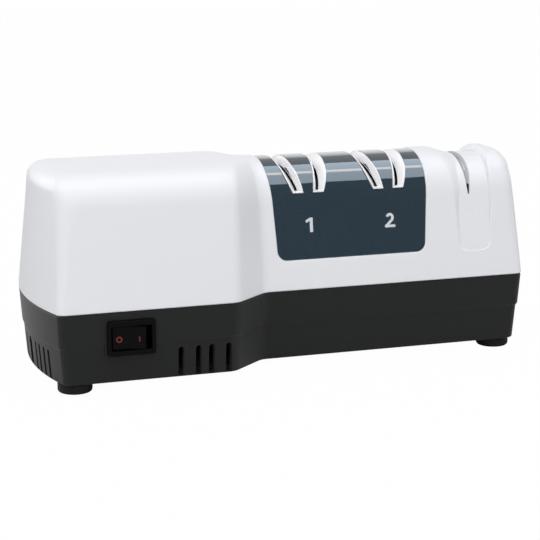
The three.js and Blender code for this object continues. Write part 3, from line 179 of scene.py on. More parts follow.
# %% Outside finishes
finishes = {
    "white_abs": surface(
        "white_abs_satin_moulded", ("#E1E2E6", "#E5E6EA"), (0.36, 0.42), "TexNoise", 0.5,
        relief=0.004, IOR=1.54, **{"Specular IOR Level": 0.2}),
    "dark_abs": surface(
        "dark_abs_spark_eroded", ("#181919", "#1F2020"), (0.42, 0.52), "TexNoise", 0.35,
        relief=0.02, IOR=1.54, **{"Specular IOR Level": 0.2, "Sheen Weight": 0.06}),
    "slate_panel": surface(
        "slate_abs_polished_lacquer", ("#2D3C47", "#2F3E49"), (0.05, 0.06), "TexNoise", 9.0,
        relief=0.0008, IOR=1.5, **{"Specular IOR Level": 0.9, "Coat Weight": 1.0,
                                   "Coat IOR": 1.6, "Coat Roughness": 0.03}),
    "switch_black": surface(
        "black_polyamide_gloss", ("#030303", "#060606"), (0.22, 0.28), "TexNoise", 0.4,
        relief=0.003, IOR=1.53, **{"Specular IOR Level": 0.08}),
    "foot_rubber": surface(
        "black_rubber_pressed", ("#151515", "#1B1B1B"), (0.75, 0.9), "TexNoise", 0.4,
        relief=0.01, IOR=1.52, **{"Specular IOR Level": 0.3}),
    "guide_plastic": surface(
        "white_acetal_moulded", ("#E6E6E8", "#EBEBED"), (0.32, 0.38), "TexNoise", 0.6,
        relief=0.002, IOR=1.48),
    "zinc_steel": surface(
        "zinc_plated_steel_turned", ("#9FA3A6", "#ADB0B2"), (0.28, 0.42), "TexNoise", 0.4,
        relief=0.003, Metallic=1.0),
    "digit_ink": surface(
        "pad_print_light_grey", ("#CDD2D6", "#D6DADE"), (0.35, 0.45), "TexNoise", 0.3,
        relief=0.001, IOR=1.5),
    "mark_ink": surface(
        "pad_print_dim_red", ("#661310", "#731713"), (0.4, 0.5), "TexNoise", 0.3,
        relief=0.001, IOR=1.5),
}
print("outside finishes:", len(finishes))

# %% [markdown]
# ## From arrays to meshes
#
# Every shape is an array of closed rings: row after row of points with the same count. Quads
# join neighbouring rings, and the first and last ring are closed, either by one flat face or,
# where a ring folds over the body, by a ladder of quads from its left side to its right side. A
# piece that is open through its middle joins its last ring to its first instead. All shapes are
# worked out in millimetres and turned to metres only here.

# %% Mesh helpers
def ring_quads(rows, count, bands):
    """Quads between neighbouring rings; the band after the last ring leads back to the first."""
    row, i = np.meshgrid(np.arange(bands), np.arange(count), indexing="ij")
    a, b = row * count + i, row * count + (i + 1) % count
    up = ((row + 1) % rows - row) * count
    return np.stack([a, b, b + up, a + up], axis=-1).reshape(-1, 4).tolist()


def ring_faces(rows, count, ladder):
    """Quads between rings, and the two lids: a single face each, or a ladder of quads."""
    faces = ring_quads(rows, count, rows - 1)
    for first in (0, (rows - 1) * count):
        if ladder:
            j = np.arange(count // 2 - 1)
            steps = np.stack([j, j + 1, count - 2 - j, count - 1 - j], axis=1) + first
            faces += steps.tolist()
        else:
            faces.append((np.arange(count) + first).tolist())
    return faces


def new_object(name, points, faces):
    """A mesh object from millimetre points; its faces are turned to look outwards."""
    mesh = bpy.data.meshes.new(name)
    mesh.from_pydata((np.asarray(points).reshape(-1, 3) * MM).tolist(), [], faces)
    made = put(name, mesh)
    face_out(made)
    return made


def face_out(made):
    """Merges doubles, then turns every face of a closed mesh outwards."""
    work = bmesh.new()
    work.from_mesh(made.data)
    bmesh.ops.remove_doubles(work, verts=work.verts, dist=1e-7)
    bmesh.ops.recalc_face_normals(work, faces=work.faces)
    work.to_mesh(made.data)
    work.free()


def solid(name, rings, ladder=False):
    """A closed mesh through rings, given as (rows, count, 3)."""
    rings = np.asarray(rings, float)
    return new_object(name, rings, ring_faces(rings.shape[0], rings.shape[1], ladder))


def loop_solid(name, rings):
    """A closed mesh whose last ring joins its first, which leaves it open through the middle."""
    rings = np.asarray(rings, float)
    rows, count = rings.shape[:2]
    return new_object(name, rings, ring_quads(rows, count, rows))


print("a cube of two square rings:", len(ring_faces(2, 4, False)), "faces")

# %% [markdown]
# ## Carving and finishing
#
# Recesses and holes are carved with Boolean modifiers that are applied at once. Edges that turn by more
# than a set angle stay sharp, the rest is shaded smooth, and weighted normals keep the large faces
# flat. Then the piece gets its material, rides on its body and hides the CAD nodes that it stands for.

# %% Carve and dress
SHARP_ANGLE = np.radians(32)


def apply_all(made):
    """Replaces the mesh by its evaluated copy and drops the modifiers."""
    graph = bpy.context.evaluated_depsgraph_get()
    baked = bpy.data.meshes.new_from_object(made.evaluated_get(graph))
    made.modifiers.clear()
    made.data = baked


def carve(made, tools, operation="DIFFERENCE"):
    """Takes the tools away from a piece, or joins them to it, one after the other."""
    for tool in tools:
        carving = made.modifiers.new("carve", "BOOLEAN")
        carving.operation = operation
        carving.solver = "MANIFOLD"
        carving.object = tool
        apply_all(made)
        bpy.data.objects.remove(tool)
    return made


def dress(made, finish, body="housing", replaces=()):
    """Smooth shading with sharp edges, a finish and a body; the CAD nodes that it stands for are
    hidden."""
    made.data.materials.clear()
    made.data.materials.append(finishes[finish])
    made.data.shade_smooth()
    made.data.set_sharp_from_angle(angle=SHARP_ANGLE)
    weighted = made.modifiers.new("weighted", "WEIGHTED_NORMAL")
    weighted.keep_sharp = True
    apply_all(made)
    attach(made, body)
    if replaces:
        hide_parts(*replaces)
    print(made.name, len(made.data.polygons), "faces")
    return made


# %% [markdown]
# ## The housing's plan
#
# From above the housing is a deep motor section and a slimmer stage section, joined by a slanted
# jog, with softly bowed ends. Each wall leans in by its own amount, so the plan is worked out
# again at every height: each wall is moved in by its inset, and the corners between them are
# arcs. The jog's corners wander a little along the body on their way up, because the motor
# section and the stages round over with different radii.

# %% The plan at one height
LENGTH, MOTOR_DEPTH, STAGE_DEPTH = 255.0, 93.0, 60.0
SEAM, TOP = 39.3, 102.4
JOG_LEFT, JOG_RIGHT = -33.6, -14.6
BOW, JOG_FILLET = 159.0, 8.0
CORNER_STEPS, JOG_STEPS, BOW_STEPS = 10, 10, 24


def unit(vector):
    """The same direction with length one."""
    return np.asarray(vector, float) / np.linalg.norm(vector)


def arc(centre, radius, start, end, steps=6):
    """Points of a plane on an arc, from start to end degrees."""
    angle = np.radians(np.linspace(start, end, steps + 1))
    return np.column_stack([np.cos(angle), np.sin(angle)]) * radius + centre


def fillet(corner, back, on, radius, steps):
    """An arc that touches both edges of a corner, between the directions back and on."""
    u, v = unit(back), unit(on)
    half = np.arccos(np.clip(u @ v, -1, 1)) / 2
    centre = corner + unit(u + v) * radius / np.sin(half)
    ends = [corner + w * radius / np.tan(half) - centre for w in (u, v)]
    start, end = (np.degrees(np.arctan2(e[1], e[0])) for e in ends)
    sweep = (end - start + 180) % 360 - 180
    return arc(centre, radius, start, start + sweep, steps)


def jog_line(motor, stage, lean=(0.0, 0.0)):
    """The jog's two outer corners, between a motor and a stage wall that are moved in."""
    return np.array([[JOG_LEFT + lean[0], motor - MOTOR_DEPTH / 2],
                     [JOG_RIGHT + lean[1], stage - STAGE_DEPTH / 2]])


def plan_side(walls, ends, corner):
    """The front from its left corner to its right corner.

    walls: insets of the motor and the stage wall, the jog's line and how far that is moved in."""
    motor, stage, jog, skin = walls
    motor, stage = motor - MOTOR_DEPTH / 2, stage - STAGE_DEPTH / 2
    run = unit(jog[1] - jog[0])
    start = jog[0] - skin * np.array([run[1], -run[0]])
    on_jog = lambda y: start + run * (y - start[1]) / run[1]
    left, right = BOW - ends[0], BOW - ends[1]
    left_reach, right_reach = np.sqrt(left**2 - motor**2), np.sqrt(right**2 - stage**2)
    left_point = np.array([BOW - LENGTH / 2 - left_reach, motor])
    right_point = np.array([LENGTH / 2 - BOW + right_reach, stage])
    slim = max(min(corner, -0.45 * stage), 0.4)
    return np.concatenate([
        fillet(left_point, [motor, left_reach], [1, 0], corner, CORNER_STEPS),
        fillet(on_jog(motor), [-1, 0], run, JOG_FILLET, JOG_STEPS),
        fillet(on_jog(stage), -run, [1, 0], JOG_FILLET, JOG_STEPS),
        fillet(right_point, [-1, 0], [-stage, right_reach], slim, CORNER_STEPS),
    ])


def bow(start, end, centre, radius, side):
    """The arc of a bowed end between two depths, without its first and last point."""
    y = np.linspace(start, end, BOW_STEPS + 1)[1:-1]
    return np.stack([centre + side * np.sqrt(radius**2 - y**2), y], axis=1)


def plan(walls, ends, corner, z):
    """The whole plan at height z, anticlockwise from above: front, right bow, rear, left bow."""
    front = plan_side(walls["front"], ends, corner)
    rear = (plan_side(walls["rear"], ends, corner) * [1, -1])[::-1]
    left = bow(rear[-1, 1], front[0, 1], BOW - LENGTH / 2, BOW - ends[0], -1)
    right = bow(front[-1, 1], rear[0, 1], LENGTH / 2 - BOW, BOW - ends[1], 1)
    points = np.concatenate([front, right, rear, left])
    return np.column_stack([points, np.full(len(points), z)])


upright = (0.0, 0.0, jog_line(0, 0), 0.0)
LOW_CORNER, HIGH_CORNER = 4.0, 9.0
seam_plan = plan({"front": upright, "rear": upright}, (0.0, 0.0), LOW_CORNER, SEAM)
print("plan:", len(seam_plan), "points a level")

# %% [markdown]
# ## The cover's walls
#
# Every wall of the cover leans in from the seam by a few degrees of draft, which lets the part
# leave its mould, and then turns over a round into the top: 24 mm over the slim stages, which
# leaves hardly any flat there, about 20 mm over the motor and 10 mm at the ends. One formula
# gives the inset at any height, for the outer face or for a face a set skin further in, so the
# shell, the panel in its recess and the hollow inside all follow the same form.

# %% The cover's form
DRAFT = {"front": 8, "rear": 4, "left": 6, "right": 4.5}
MOTOR_ROUND, STAGE_ROUND = {"front": 18.0, "rear": 21.0}, 24.0
END_ROUND = {"left": 9.5, "right": 10.0}
JOG_LEAN = {"front": np.array([4.3, -1.4]), "rear": np.array([8.5, -4.9])}
TOP_ZONE, CORNER_DROP = 12, 4
ROUND_STEPS = 44


def wall_inset(z, draft, shoulder, skin=0.0):
    """Inset at height z: a wall leaning by draft degrees, then an arc tangent to it."""
    lean, radius, centre = np.radians(draft), shoulder - skin, TOP - shoulder
    turn = np.clip((z - centre) / radius, np.sin(lean), 1)
    wall = np.tan(lean) * (np.minimum(z, centre + radius * np.sin(lean)) - SEAM)
    return wall + skin / np.cos(lean) + radius * (np.cos(lean) - np.sqrt(1 - turn**2))


def cover_level(z, skin=0.0, extra=0.0):
    """The cover's plan at height z; extra moves every wall in by the same amount."""
    ends = [wall_inset(z, DRAFT[end], END_ROUND[end], skin) + extra for end in ("left", "right")]
    walls = {}
    for row in ("front", "rear"):
        rounds = (MOTOR_ROUND[row], STAGE_ROUND)
        outer = [wall_inset(z, DRAFT[row], r) for r in rounds]
        inner = [wall_inset(z, DRAFT[row], r, skin) + extra for r in rounds]
        share = outer[0] / wall_inset(TOP, DRAFT[row], MOTOR_ROUND[row])
        walls[row] = (*inner, jog_line(*outer, JOG_LEAN[row] * share), skin + extra)
    up = np.clip((z - SEAM) / (TOP - TOP_ZONE - SEAM), 0, 1)
    over = np.clip((z - TOP + TOP_ZONE) / TOP_ZONE, 0, 1)
    corner = LOW_CORNER + (HIGH_CORNER - LOW_CORNER) * up - CORNER_DROP * (1 - np.sqrt(1 - over**2))
    return plan(walls, ends, max(corner - skin, 1.0), z)


def cover_heights(skin=0.0):
    """Heights for the walls and then, at equal turns of the stages' round, up to the top."""
    turn = np.linspace(np.radians(DRAFT["front"]), np.pi / 2, ROUND_STEPS)
    round_over = TOP - STAGE_ROUND + (STAGE_ROUND - skin) * np.sin(turn)
    return np.concatenate([np.linspace(SEAM, round_over[0], 8)[1:-1], round_over])


def rounding(radius, steps):
    """A quarter round on an edge: how far each step has risen and how far it is pulled in."""
    turn = np.linspace(0, np.pi / 2, steps + 1)
    return radius * (1 - np.cos(turn)), radius * (1 - np.sin(turn))


LIP = 0.8
levels = [cover_level(SEAM + rise, extra=pull) for rise, pull in zip(*rounding(LIP, 6))]
levels += [cover_level(z) for z in cover_heights()]
cover = solid("cover_shell", levels)
print("cover block:", len(cover.data.vertices), "points")

# %% [markdown]
# ## Hollowing the cover
#
# The real cover is a 3 mm shell. The hollow is the same form moved in by 3 mm. Under the channel
# of the manual stage it stays further in, and it leaves two solid blocks round the manual slot,
# near the front and the rear, whose walls can be seen down the slot.

# %% The hollow and its blocks
SHELL, UNDER_CHANNEL = 3.0, 5.5
MANUAL_X = 96.75
BLOCK_HALF, BLOCK_FOOT, BLOCK_INNER = 4.5, 85.4, 12.8
BEYOND, ABOVE = 60, 110


def prism(name, axis, outline, start, end):
    """A straight prism; its outline is in (Y, Z) along x, (X, Z) along y, (X, Y) along z."""
    flat = np.asarray(outline, float)
    column = "xyz".index(axis)
    return solid(name, [np.insert(flat, column, place, axis=1) for place in (start, end)])


def about(middle, half):
    """The two ends of a stretch round its middle."""
    return middle - half, middle + half


def block(name, x, y, z):
    """A straight block between two places on each axis."""
    return prism(name, "z", [(x[0], y[0]), (x[1], y[0]), (x[1], y[1]), (x[0], y[1])], *z)


def cover_form(name, skin):
    """The cover's form moved in by a skin, from below the seam up."""
    return solid(name, [cover_level(z, skin) for z in [SEAM - 5, *cover_heights(skin)]])


hollow = cover_form("hollow", SHELL)
under_channel = [(86, 50), (110, 50), (113, ABOVE), (79.5, ABOVE)]
thicker = prism("thicker", "y", under_channel, -BEYOND, BEYOND)
carve(thicker, [cover_form("deeper", UNDER_CHANNEL)])
slot_blocks = [block("slot_block", about(MANUAL_X, BLOCK_HALF), y, (BLOCK_FOOT, ABOVE))
               for y in ((-BEYOND, -BLOCK_INNER), (BLOCK_INNER, BEYOND))]
carve(hollow, [thicker, *slot_blocks])
carve(cover, [hollow])
print("cover shell:", len(cover.data.polygons), "faces")

# %% [markdown]
# ## A band that follows the stages over the top
#
# The panel, the slots and the shallow channel all run up the front, over the shoulder, across
# the top and down the rear. They share one cross-section of the slim part: front wall, round,
# top, round, rear wall. Walking along it by distance gives a point and an outward direction, so
# a band is a set of closed rings, each at its own depth under the surface and its own outline.

# %% The cross-section and the rings of a band
ROUND_CENTRE = TOP - STAGE_ROUND
LEANS = np.radians([DRAFT["front"], DRAFT["rear"]])
LEAN_FRONT, LEAN_REAR = LEANS
WALLS = (ROUND_CENTRE + STAGE_ROUND * np.sin(LEANS) - SEAM) / np.cos(LEANS)
ARCS = STAGE_ROUND * (np.pi / 2 - LEANS)
FLAT_TOP = STAGE_DEPTH - sum(wall_inset(TOP, DRAFT[row], STAGE_ROUND) for row in ("front", "rear"))
KNOTS = np.cumsum([0, WALLS[0], ARCS[0], FLAT_TOP, ARCS[1], WALLS[1]])


def section(walk):
    """Point and outward direction (y, z, ny, nz) after a walk in mm up from the front's seam.

    The place is the sum of what each stretch adds: wall, arc, flat, arc and wall."""
    on = [np.clip(walk - KNOTS[i], 0, KNOTS[i + 1] - KNOTS[i]) for i in range(4)]
    on.append(np.maximum(walk - KNOTS[4], 0))
    first = LEAN_FRONT + on[1] / STAGE_ROUND
    second = np.pi / 2 + on[3] / STAGE_ROUND
    wall = on[0] + np.minimum(walk, 0)
    y = -STAGE_DEPTH / 2 + wall * np.sin(LEAN_FRONT) + on[2] + on[4] * np.sin(LEAN_REAR)
    y = y + STAGE_ROUND * (np.cos(LEAN_FRONT) - np.cos(first) - np.cos(second))
    z = SEAM + wall * np.cos(LEAN_FRONT) - on[4] * np.cos(LEAN_REAR)
    z = z + STAGE_ROUND * (np.sin(first) - np.sin(LEAN_FRONT) + np.sin(second) - 1)
    angle = first + on[3] / STAGE_ROUND
    return y, z, -np.cos(angle), np.sin(angle)


def walk_up(z, lean):
    """Walk from the seam to a height: along the wall, then round the arc."""
    turn = np.arcsin(np.clip((z - ROUND_CENTRE) / STAGE_ROUND, np.sin(lean), 1)) - lean
    wall = np.minimum(z, ROUND_CENTRE + STAGE_ROUND * np.sin(lean)) - SEAM
    return wall / np.cos(lean) + STAGE_ROUND * turn


front_walk = lambda z: walk_up(z, LEAN_FRONT)
rear_walk = lambda z: KNOTS[5] - walk_up(z, LEAN_REAR)


def band_walks(bottom, room):
    """Walks shared by all rings of a band that starts at a height; room is kept for its corners."""
    start, end = front_walk(bottom) + room, rear_walk(bottom) - room
    counts = (8, 44, 3, 44, 8)
    walks = np.concatenate([
        np.linspace(KNOTS[i], KNOTS[i + 1], count + 1)[:-1] for i, count in enumerate(counts)
    ])
    inner = walks[(walks > start + 0.3) & (walks < end - 0.3)]
    return np.concatenate([[start], inner, [end]])


def band_ring(left, right, bottom, corner, walks, out=0.0, depth=0.0, steps=6):
    """One closed ring of a band: up its left side, over the top and back down its right side.

    left and right give x at a height; out grows the outline; depth is measured inwards along the
    surface's direction, as a number or as a function of height. The ends are rounded by corner."""
    rise, pull = rounding(max(corner + out, 0.05), steps)
    start, end = front_walk(bottom) - out, rear_walk(bottom) + out
    walk = np.concatenate([start + rise, walks, (end - rise)[::-1]])
    pull = np.concatenate([pull, np.zeros(len(walks)), pull[::-1]])
    y, z, ny, nz = section(walk)
    sunk = depth(z) if callable(depth) else depth
    y, z = y - sunk * ny, z - sunk * nz
    up = np.column_stack([left(z) - out + pull, y, z])
    back = np.column_stack([right(z) + out - pull, y, z])
    return np.concatenate([up, back[::-1]])


print("cross-section:", round(float(KNOTS[5]), 1), "mm from seam to seam")

# %% [markdown]
# ## The panel and its recess
#
# The glossy panel is a thin skin let into the cover: its face lies 0.6 mm below the surface, with
# hardly a gap round it. The recess has a small rounded lip that catches a light line.
# Both are bands with the same outline, which widens upwards by 3.5 degrees.

# %% Panel skin and recess cutter
PANEL_X, PANEL_HALF, PANEL_BOTTOM, PANEL_CORNER = 31.9, 39.0, 54.0, 4.5
PANEL_DEPTH = 0.6
PANEL_LEAN = np.tan(np.radians(3.5))
panel_half = lambda z: PANEL_HALF + PANEL_LEAN * (z - PANEL_BOTTOM)
panel_left = lambda z: PANEL_X - panel_half(z)
panel_right = lambda z: PANEL_X + panel_half(z)
panel_walks = band_walks(PANEL_BOTTOM, PANEL_CORNER + 2)


def panel_band(name, rings):
    """A band with the panel's outline through rings of (growth, depth)."""
    made = [band_ring(panel_left, panel_right, PANEL_BOTTOM, PANEL_CORNER, panel_walks, out, depth)
            for out, depth in rings]
    return solid(name, made, ladder=True)


recess = panel_band("panel_recess", [
    (1.1, -2.0), (0.8, 0.0), (0.5, 0.08), (0.27, 0.22), (0.1, 0.42), (0.03, 0.62), (0.0, 1.5),
])
panel = panel_band("panel_skin", [
    (-0.05, 1.2), (-0.05, 0.75), (-0.09, 0.65), (-0.2, PANEL_DEPTH),
])
print("panel:", len(panel.data.polygons), "faces")

# %% [markdown]
# ## Powered slots
#
# Each powered stage has two knife slots that lean apart towards the top by some 15 degrees, and
# widen from 5.4 to 7.2 mm. A slot is a band too, with square ends. Its cutter passes through the
# panel with a small gap all round, and through the cover under it.

# %% Slot cutters
STAGE_XS = (9.95, 52.3)
SLOT_BOTTOM, SLOT_REACH, SLOT_HALF, SLOT_WIDER = 86.4, 5.3, 2.7, 0.9
SLOT_TILT = np.tan(np.radians(15.4))
SLOT_CORNER, SLOT_ABOVE, SLOT_DEPTH, WIDENS_OVER = 0.12, -2.0, 4.5, 12
PANEL_GAP, COVER_GAP = 0.22, 0.03


def slot_edges(stage_x, side, half, share):
    """Left and right edge of a slot as functions of height.

    Its middle is a leaning line. Share is how much it widens, as one minus a falling square."""
    middle = lambda z: stage_x + side * (SLOT_REACH + SLOT_TILT * (z - SLOT_BOTTOM))
    left_over = lambda z: 1 - np.clip((z - SLOT_BOTTOM) / WIDENS_OVER, 0, 1)
    wide = lambda z: half + share * SLOT_WIDER * (1 - left_over(z) ** 2)
    return lambda z: middle(z) - wide(z), lambda z: middle(z) + wide(z)


slot_walks = band_walks(SLOT_BOTTOM, 2.5)


def slot_rings(stage_x, side, rings):
    """Rings along one slot from (half width, share of widening, bottom height, depth)."""
    return [band_ring(*slot_edges(stage_x, side, half, share), bottom, SLOT_CORNER, slot_walks,
                      depth=depth, steps=2)
            for half, share, bottom, depth in rings]


def slot_cutters(margin):
    """One cutter for each slot, wider than its frame by a margin."""
    half, bottom = SLOT_HALF + margin, SLOT_BOTTOM - margin
    rings = [(half, 1, bottom, depth) for depth in (SLOT_ABOVE, SLOT_DEPTH)]
    return [solid("slot_cutter", slot_rings(x, side, rings), ladder=True)
            for x in STAGE_XS for side in (-1, 1)]


carve(panel, slot_cutters(PANEL_GAP))
carve(cover, [recess, *slot_cutters(COVER_GAP)])
print("slots cut:", len(cover.data.polygons), "faces in the cover")

# %% [markdown]
# ## The channel of the manual stage
#
# The manual stage sits in a channel that runs over the top and is deepest there. Its right wall
# is crisp, and its left side is a soft ramp that spreads to 13 mm at the top. The channel is a
# band whose left edge moves in, ring by ring, while the depth grows, so the ramp is as smooth as
# the number of rings allows.

# %% Channel
CHANNEL_BOTTOM, CHANNEL_CORNER = 53.0, 4.5


def smooth(share):
    """0 below 0, 1 above 1 and an S-shaped rise between."""
    t = np.clip(share, 0, 1)
    return t * t * (3 - 2 * t)


def channel_left(z):
    """The ramp's outer edge: it drifts left with the square of height, and 2 mm more at the top."""
    return 89.0 - 2.0 * ((z - CHANNEL_BOTTOM) / 33) ** 2 - 2.0 * smooth((z - 88) / 14)


def channel_right(z):
    """The right wall leans out a little, and above 83 mm by the square of the height too."""
    return 107.1 + 0.025 * (z - 57) + 0.0065 * np.maximum(z - 83, 0) ** 2


def channel_depth(z):
    """Depth in two S-shaped rises: 0.55 mm at the foot, 2 mm at the shoulder, 3.2 mm at the top."""
    return 0.55 + 1.45 * smooth((z - CHANNEL_BOTTOM) / 30) + 1.2 * smooth((z - 85) / 16)


def channel_ramp(z):
    """Width of the ramp in two S-shaped rises: 2 mm low down, 5.5 mm and at the top 13 mm."""
    return 2.0 + 3.5 * smooth((z - 66) / 25) + 7.5 * smooth((z - 88) / 14)


channel_walks = band_walks(CHANNEL_BOTTOM, CHANNEL_CORNER + 4)


def channel_ring(left, out, depth):
    """One ring of the channel's cutter; all of them share their foot, corner and right wall."""
    return band_ring(left, channel_right, CHANNEL_BOTTOM, CHANNEL_CORNER, channel_walks, out, depth)


channel_rings = [channel_ring(lambda z: channel_left(z) - 4, 0.7, -1.0)]
for t in np.linspace(0, 1, 12):
    sunk = 0.7 * smooth(t) + 0.3 * t * t
    lip = 0.5 * (1 - t) ** 3
    channel_rings.append(channel_ring(
        lambda z: channel_left(z) + channel_ramp(z) * t + lip, lip, lambda z: channel_depth(z) * sunk))
channel = solid("channel_cutter", channel_rings, ladder=True)
print("channel:", len(channel_rings), "rings,", round(float(channel_depth(TOP)), 2), "mm deep on top")

# %% [markdown]
# ## The manual slot
#
# The knife slot in the channel is a narrow neck with a round foot that opens into a V, so its cutter is
# a prism along Y. The neck is dark inside from shade, and that shade is painted: a dark piece stands
# behind it, in a pocket of the shell, as painted shade. The cover and the panel are finished after
# this.

# %% Manual slot and painted-shade piece
NECK_RADIUS, NECK_FOOT = 0.45, 81.05
# The dark piece behind the neck is painted shade; these give its size, its skin and its gaps.
SHADE_PIECE_HALF, SHADE_PIECE_FOOT, SHADE_PIECE_TOP, SHADE_PIECE_SKIN = 2.4, 79, 85.6, 2.9
POCKET_GAP, SHADE_PIECE_GAP = 0.02, 0.05
neck = arc((0, NECK_FOOT), NECK_RADIUS, 180, 360, 8)
slot_right = [(0.9, BLOCK_FOOT), (1.6, 88.6), (2.6, 95.5), (2.5, 100.0), (2.5, ABOVE)]
slot_left = [(-1.1, ABOVE), (-1.2, 96.0), (-0.9, BLOCK_FOOT)]
slot_outline = np.array([*neck, *slot_right, *slot_left]) + [MANUAL_X, 0]


def manual_slot():
    """A cutter for the slot, right through the body; each use takes a new one."""
    return prism("manual_cutter", "y", slot_outline, -BEYOND, BEYOND)


def neck_room(name, grow):
    """A block behind the neck that keeps within the cover's form, moved in by the skin of the
    painted-shade piece.
    """
    made = block(name, about(MANUAL_X, SHADE_PIECE_HALF + grow), about(0, BEYOND),
                 (SHADE_PIECE_FOOT - grow, SHADE_PIECE_TOP + grow))
    return carve(made, [cover_form("neck_skin", SHADE_PIECE_SKIN - grow)], "INTERSECT")


shade_piece_inside = cover_form("shade_piece_inside", UNDER_CHANNEL - SHADE_PIECE_GAP)
# Painted shade: a dark piece fills the room behind the neck, where the slot has only shade.
shade_piece = carve(neck_room("painted_shade_piece", 0.0), [shade_piece_inside, manual_slot()])
carve(cover, [channel, manual_slot(), neck_room("neck_pocket", POCKET_GAP)])
dress(shade_piece, "dark_abs")
dress(cover, "white_abs", replaces=("top_cover",))
dress(panel, "slate_panel", replaces=("stage_panel",))

# %% [markdown]
# ## Slot frames
#
# A white frame stands in each powered slot. Its rim is 0.7 mm wide with rounded edges; in front
# it is flush with the cover and on the top it sinks to the panel. Inside it a funnel leads the
# blade down to a narrow slit. The rings go from the frame's foot up its outside, over the rim and
# down the funnel, and the last ring joins the first again, which leaves the slit open.

# %% Slot frames
def funnel_depth(z):
    """Depth of the funnel: shallow at its ends, deeper on the top."""
    return 2.5 + 2.2 * smooth((z - 88) / 16)


def rim_depth(more):
    """Depth of the rim: flush with the cover in front, with the panel on the top."""
    return lambda z: PANEL_DEPTH * smooth((z - 95) / 6) + more


FRAME_RINGS = [
    (2.70, 1, 86.40, 7.0), (2.70, 1, 86.40, rim_depth(0.15)), (2.62, 1, 86.48, rim_depth(0.02)),
    (2.54, 1, 86.56, rim_depth(0)), (2.10, 1, 86.95, rim_depth(0)), (2.00, 1, 87.05, rim_depth(0.06)),
    (1.92, 1, 87.12, rim_depth(0.25)),
    (1.40, 0.6, 87.55, lambda z: 0.5 * funnel_depth(z)), (0.83, 0.05, 88.0, funnel_depth),
    (0.75, 0, 88.1, lambda z: funnel_depth(z) + 0.12),
    (0.75, 0, 88.15, lambda z: funnel_depth(z) + 0.4),
    (1.30, 0.5, 87.6, lambda z: funnel_depth(z) + 0.8),
]
for number, stage_x in enumerate(STAGE_XS, start=1):
    for letter, side in (("a", -1), ("b", 1)):
        slot_piece = loop_solid(
            f"slot_frame_{number}{letter}", slot_rings(stage_x, side, FRAME_RINGS))
        dress(slot_piece, "guide_plastic", replaces=(f"knife_guide_{number}{letter}",))

# %% [markdown]
# ## The base
#
# The base is a dark tub. A band under the seam ends in a small ledge, and below it the skirt
# draws in towards the table. It is lofted through the same plan as the cover, with its edges
# rounded, and hollowed; then the vents, the switch's opening, the screw wells and the clean-out
# door are carved.

# %% Base levels
BASE_TOP, LEDGE_TOP, LEDGE_FOOT, FLOOR = 39.0, 23.8, 21.8, 5.0
slope = lambda degrees: np.tan(np.radians(degrees))


def base_inset(z, extra=0.0):
    """The band leans in from the seam down to the ledge, and the skirt from there to the floor."""
    drop = SEAM - np.maximum(z, LEDGE_TOP)
    step = 0.8 * smooth((LEDGE_TOP - z) / (LEDGE_TOP - LEDGE_FOOT))
    below = np.maximum(LEDGE_FOOT - z, 0)
    side = 0.2 + slope(3.2) * drop + step + slope(2.3) * below + extra
    end = 0.2 + slope(4) * drop + step + slope(4.7) * below + extra
    return side, end


def base_level(z, extra=0.0, corner=LOW_CORNER):
    """The base's plan at height z; extra moves every wall in by the same amount."""
    side, end = base_inset(z, extra)
    wall = (side, side, jog_line(0, 0), side)
    return plan({"front": wall, "rear": wall}, (end, end), corner, z)


ROUND_LOW, ROUND_HIGH, BASE_WALL, FLOOR_TOP = 1.0, 0.5, 3.5, 7.5
base_rings = [base_level(FLOOR + rise, pull) for rise, pull in zip(*rounding(ROUND_LOW, 5))]
bends = [FLOOR + ROUND_LOW, LEDGE_FOOT, LEDGE_TOP, BASE_TOP - ROUND_HIGH]
for low, high, count in zip(bends, bends[1:], (6, 9, 5)):
    base_rings += [base_level(z) for z in np.linspace(low, high, count)[1:]]
upper_edge = [base_level(BASE_TOP - rise, pull) for rise, pull in zip(*rounding(ROUND_HIGH, 5))]
base = solid("base_tub", [*base_rings, *upper_edge[-2::-1]])
tub_hollow = [base_level(z, BASE_WALL, 1.0) for z in (FLOOR_TOP, LEDGE_FOOT, LEDGE_TOP, BASE_TOP + 4)]
carve(base, [solid("tub_hollow", tub_hollow)])
print("tub:", len(base.data.polygons), "faces")

# %% [markdown]
# ## Ribs, bosses and tongue inside the base
#
# A tongue stands up inside the cover's wall and locates it, bosses take the case screws, two
# posts carry the motor on its pads, and the switch has a thicker seat behind it. None of them
# shows from outside, but the mesh is kept as a part in its own right, so they are joined on.

# %% Inside of the base
def turned_rings(profile, axis="z", place=(0, 0, 0), sides=48):
    """Circles of a body of revolution, one for each (radius, place along the axis) pair."""
    radius, along = np.asarray(profile, float).T
    angle = np.linspace(0, 2 * np.pi, sides, endpoint=False)
    across = radius[:, None] * np.cos(angle), radius[:, None] * np.sin(angle)
    lift = np.broadcast_to(along[:, None], across[0].shape)
    order = {"x": (lift, *across), "y": (across[1], lift, across[0]), "z": (*across, lift)}
    return np.stack(order[axis], axis=-1) + np.asarray(place, float)


def turned(name, profile, **where):
    """A body of revolution as a closed mesh."""
    return solid(name, turned_rings(profile, **where))


def rod(name, radius, start, end, axis="z", place=(0, 0, 0), sides=32):
    """A round rod along an axis."""
    return turned(name, [(radius, start), (radius, end)], axis=axis, place=place, sides=sides)


def mirrored(left, right):
    """Four places (x, y) by end and row: one for each end, in front and mirrored behind."""
    return {(end, row): (x, side * y) for end, (x, y) in (("left", left), ("right", right))
            for row, side in (("front", -1), ("rear", 1))}


def rods(name, radius, start, end, places):
    """Upright rods, one at each place (x, y)."""
    return [rod(name, radius, start, end, place=(x, y, 0)) for x, y in places.values()]


def switch_room(name, half_length, half_height, y):
    """A block round the switch's centre."""
    return block(name, about(SWITCH_X, half_length), y, about(SWITCH_Z, half_height))


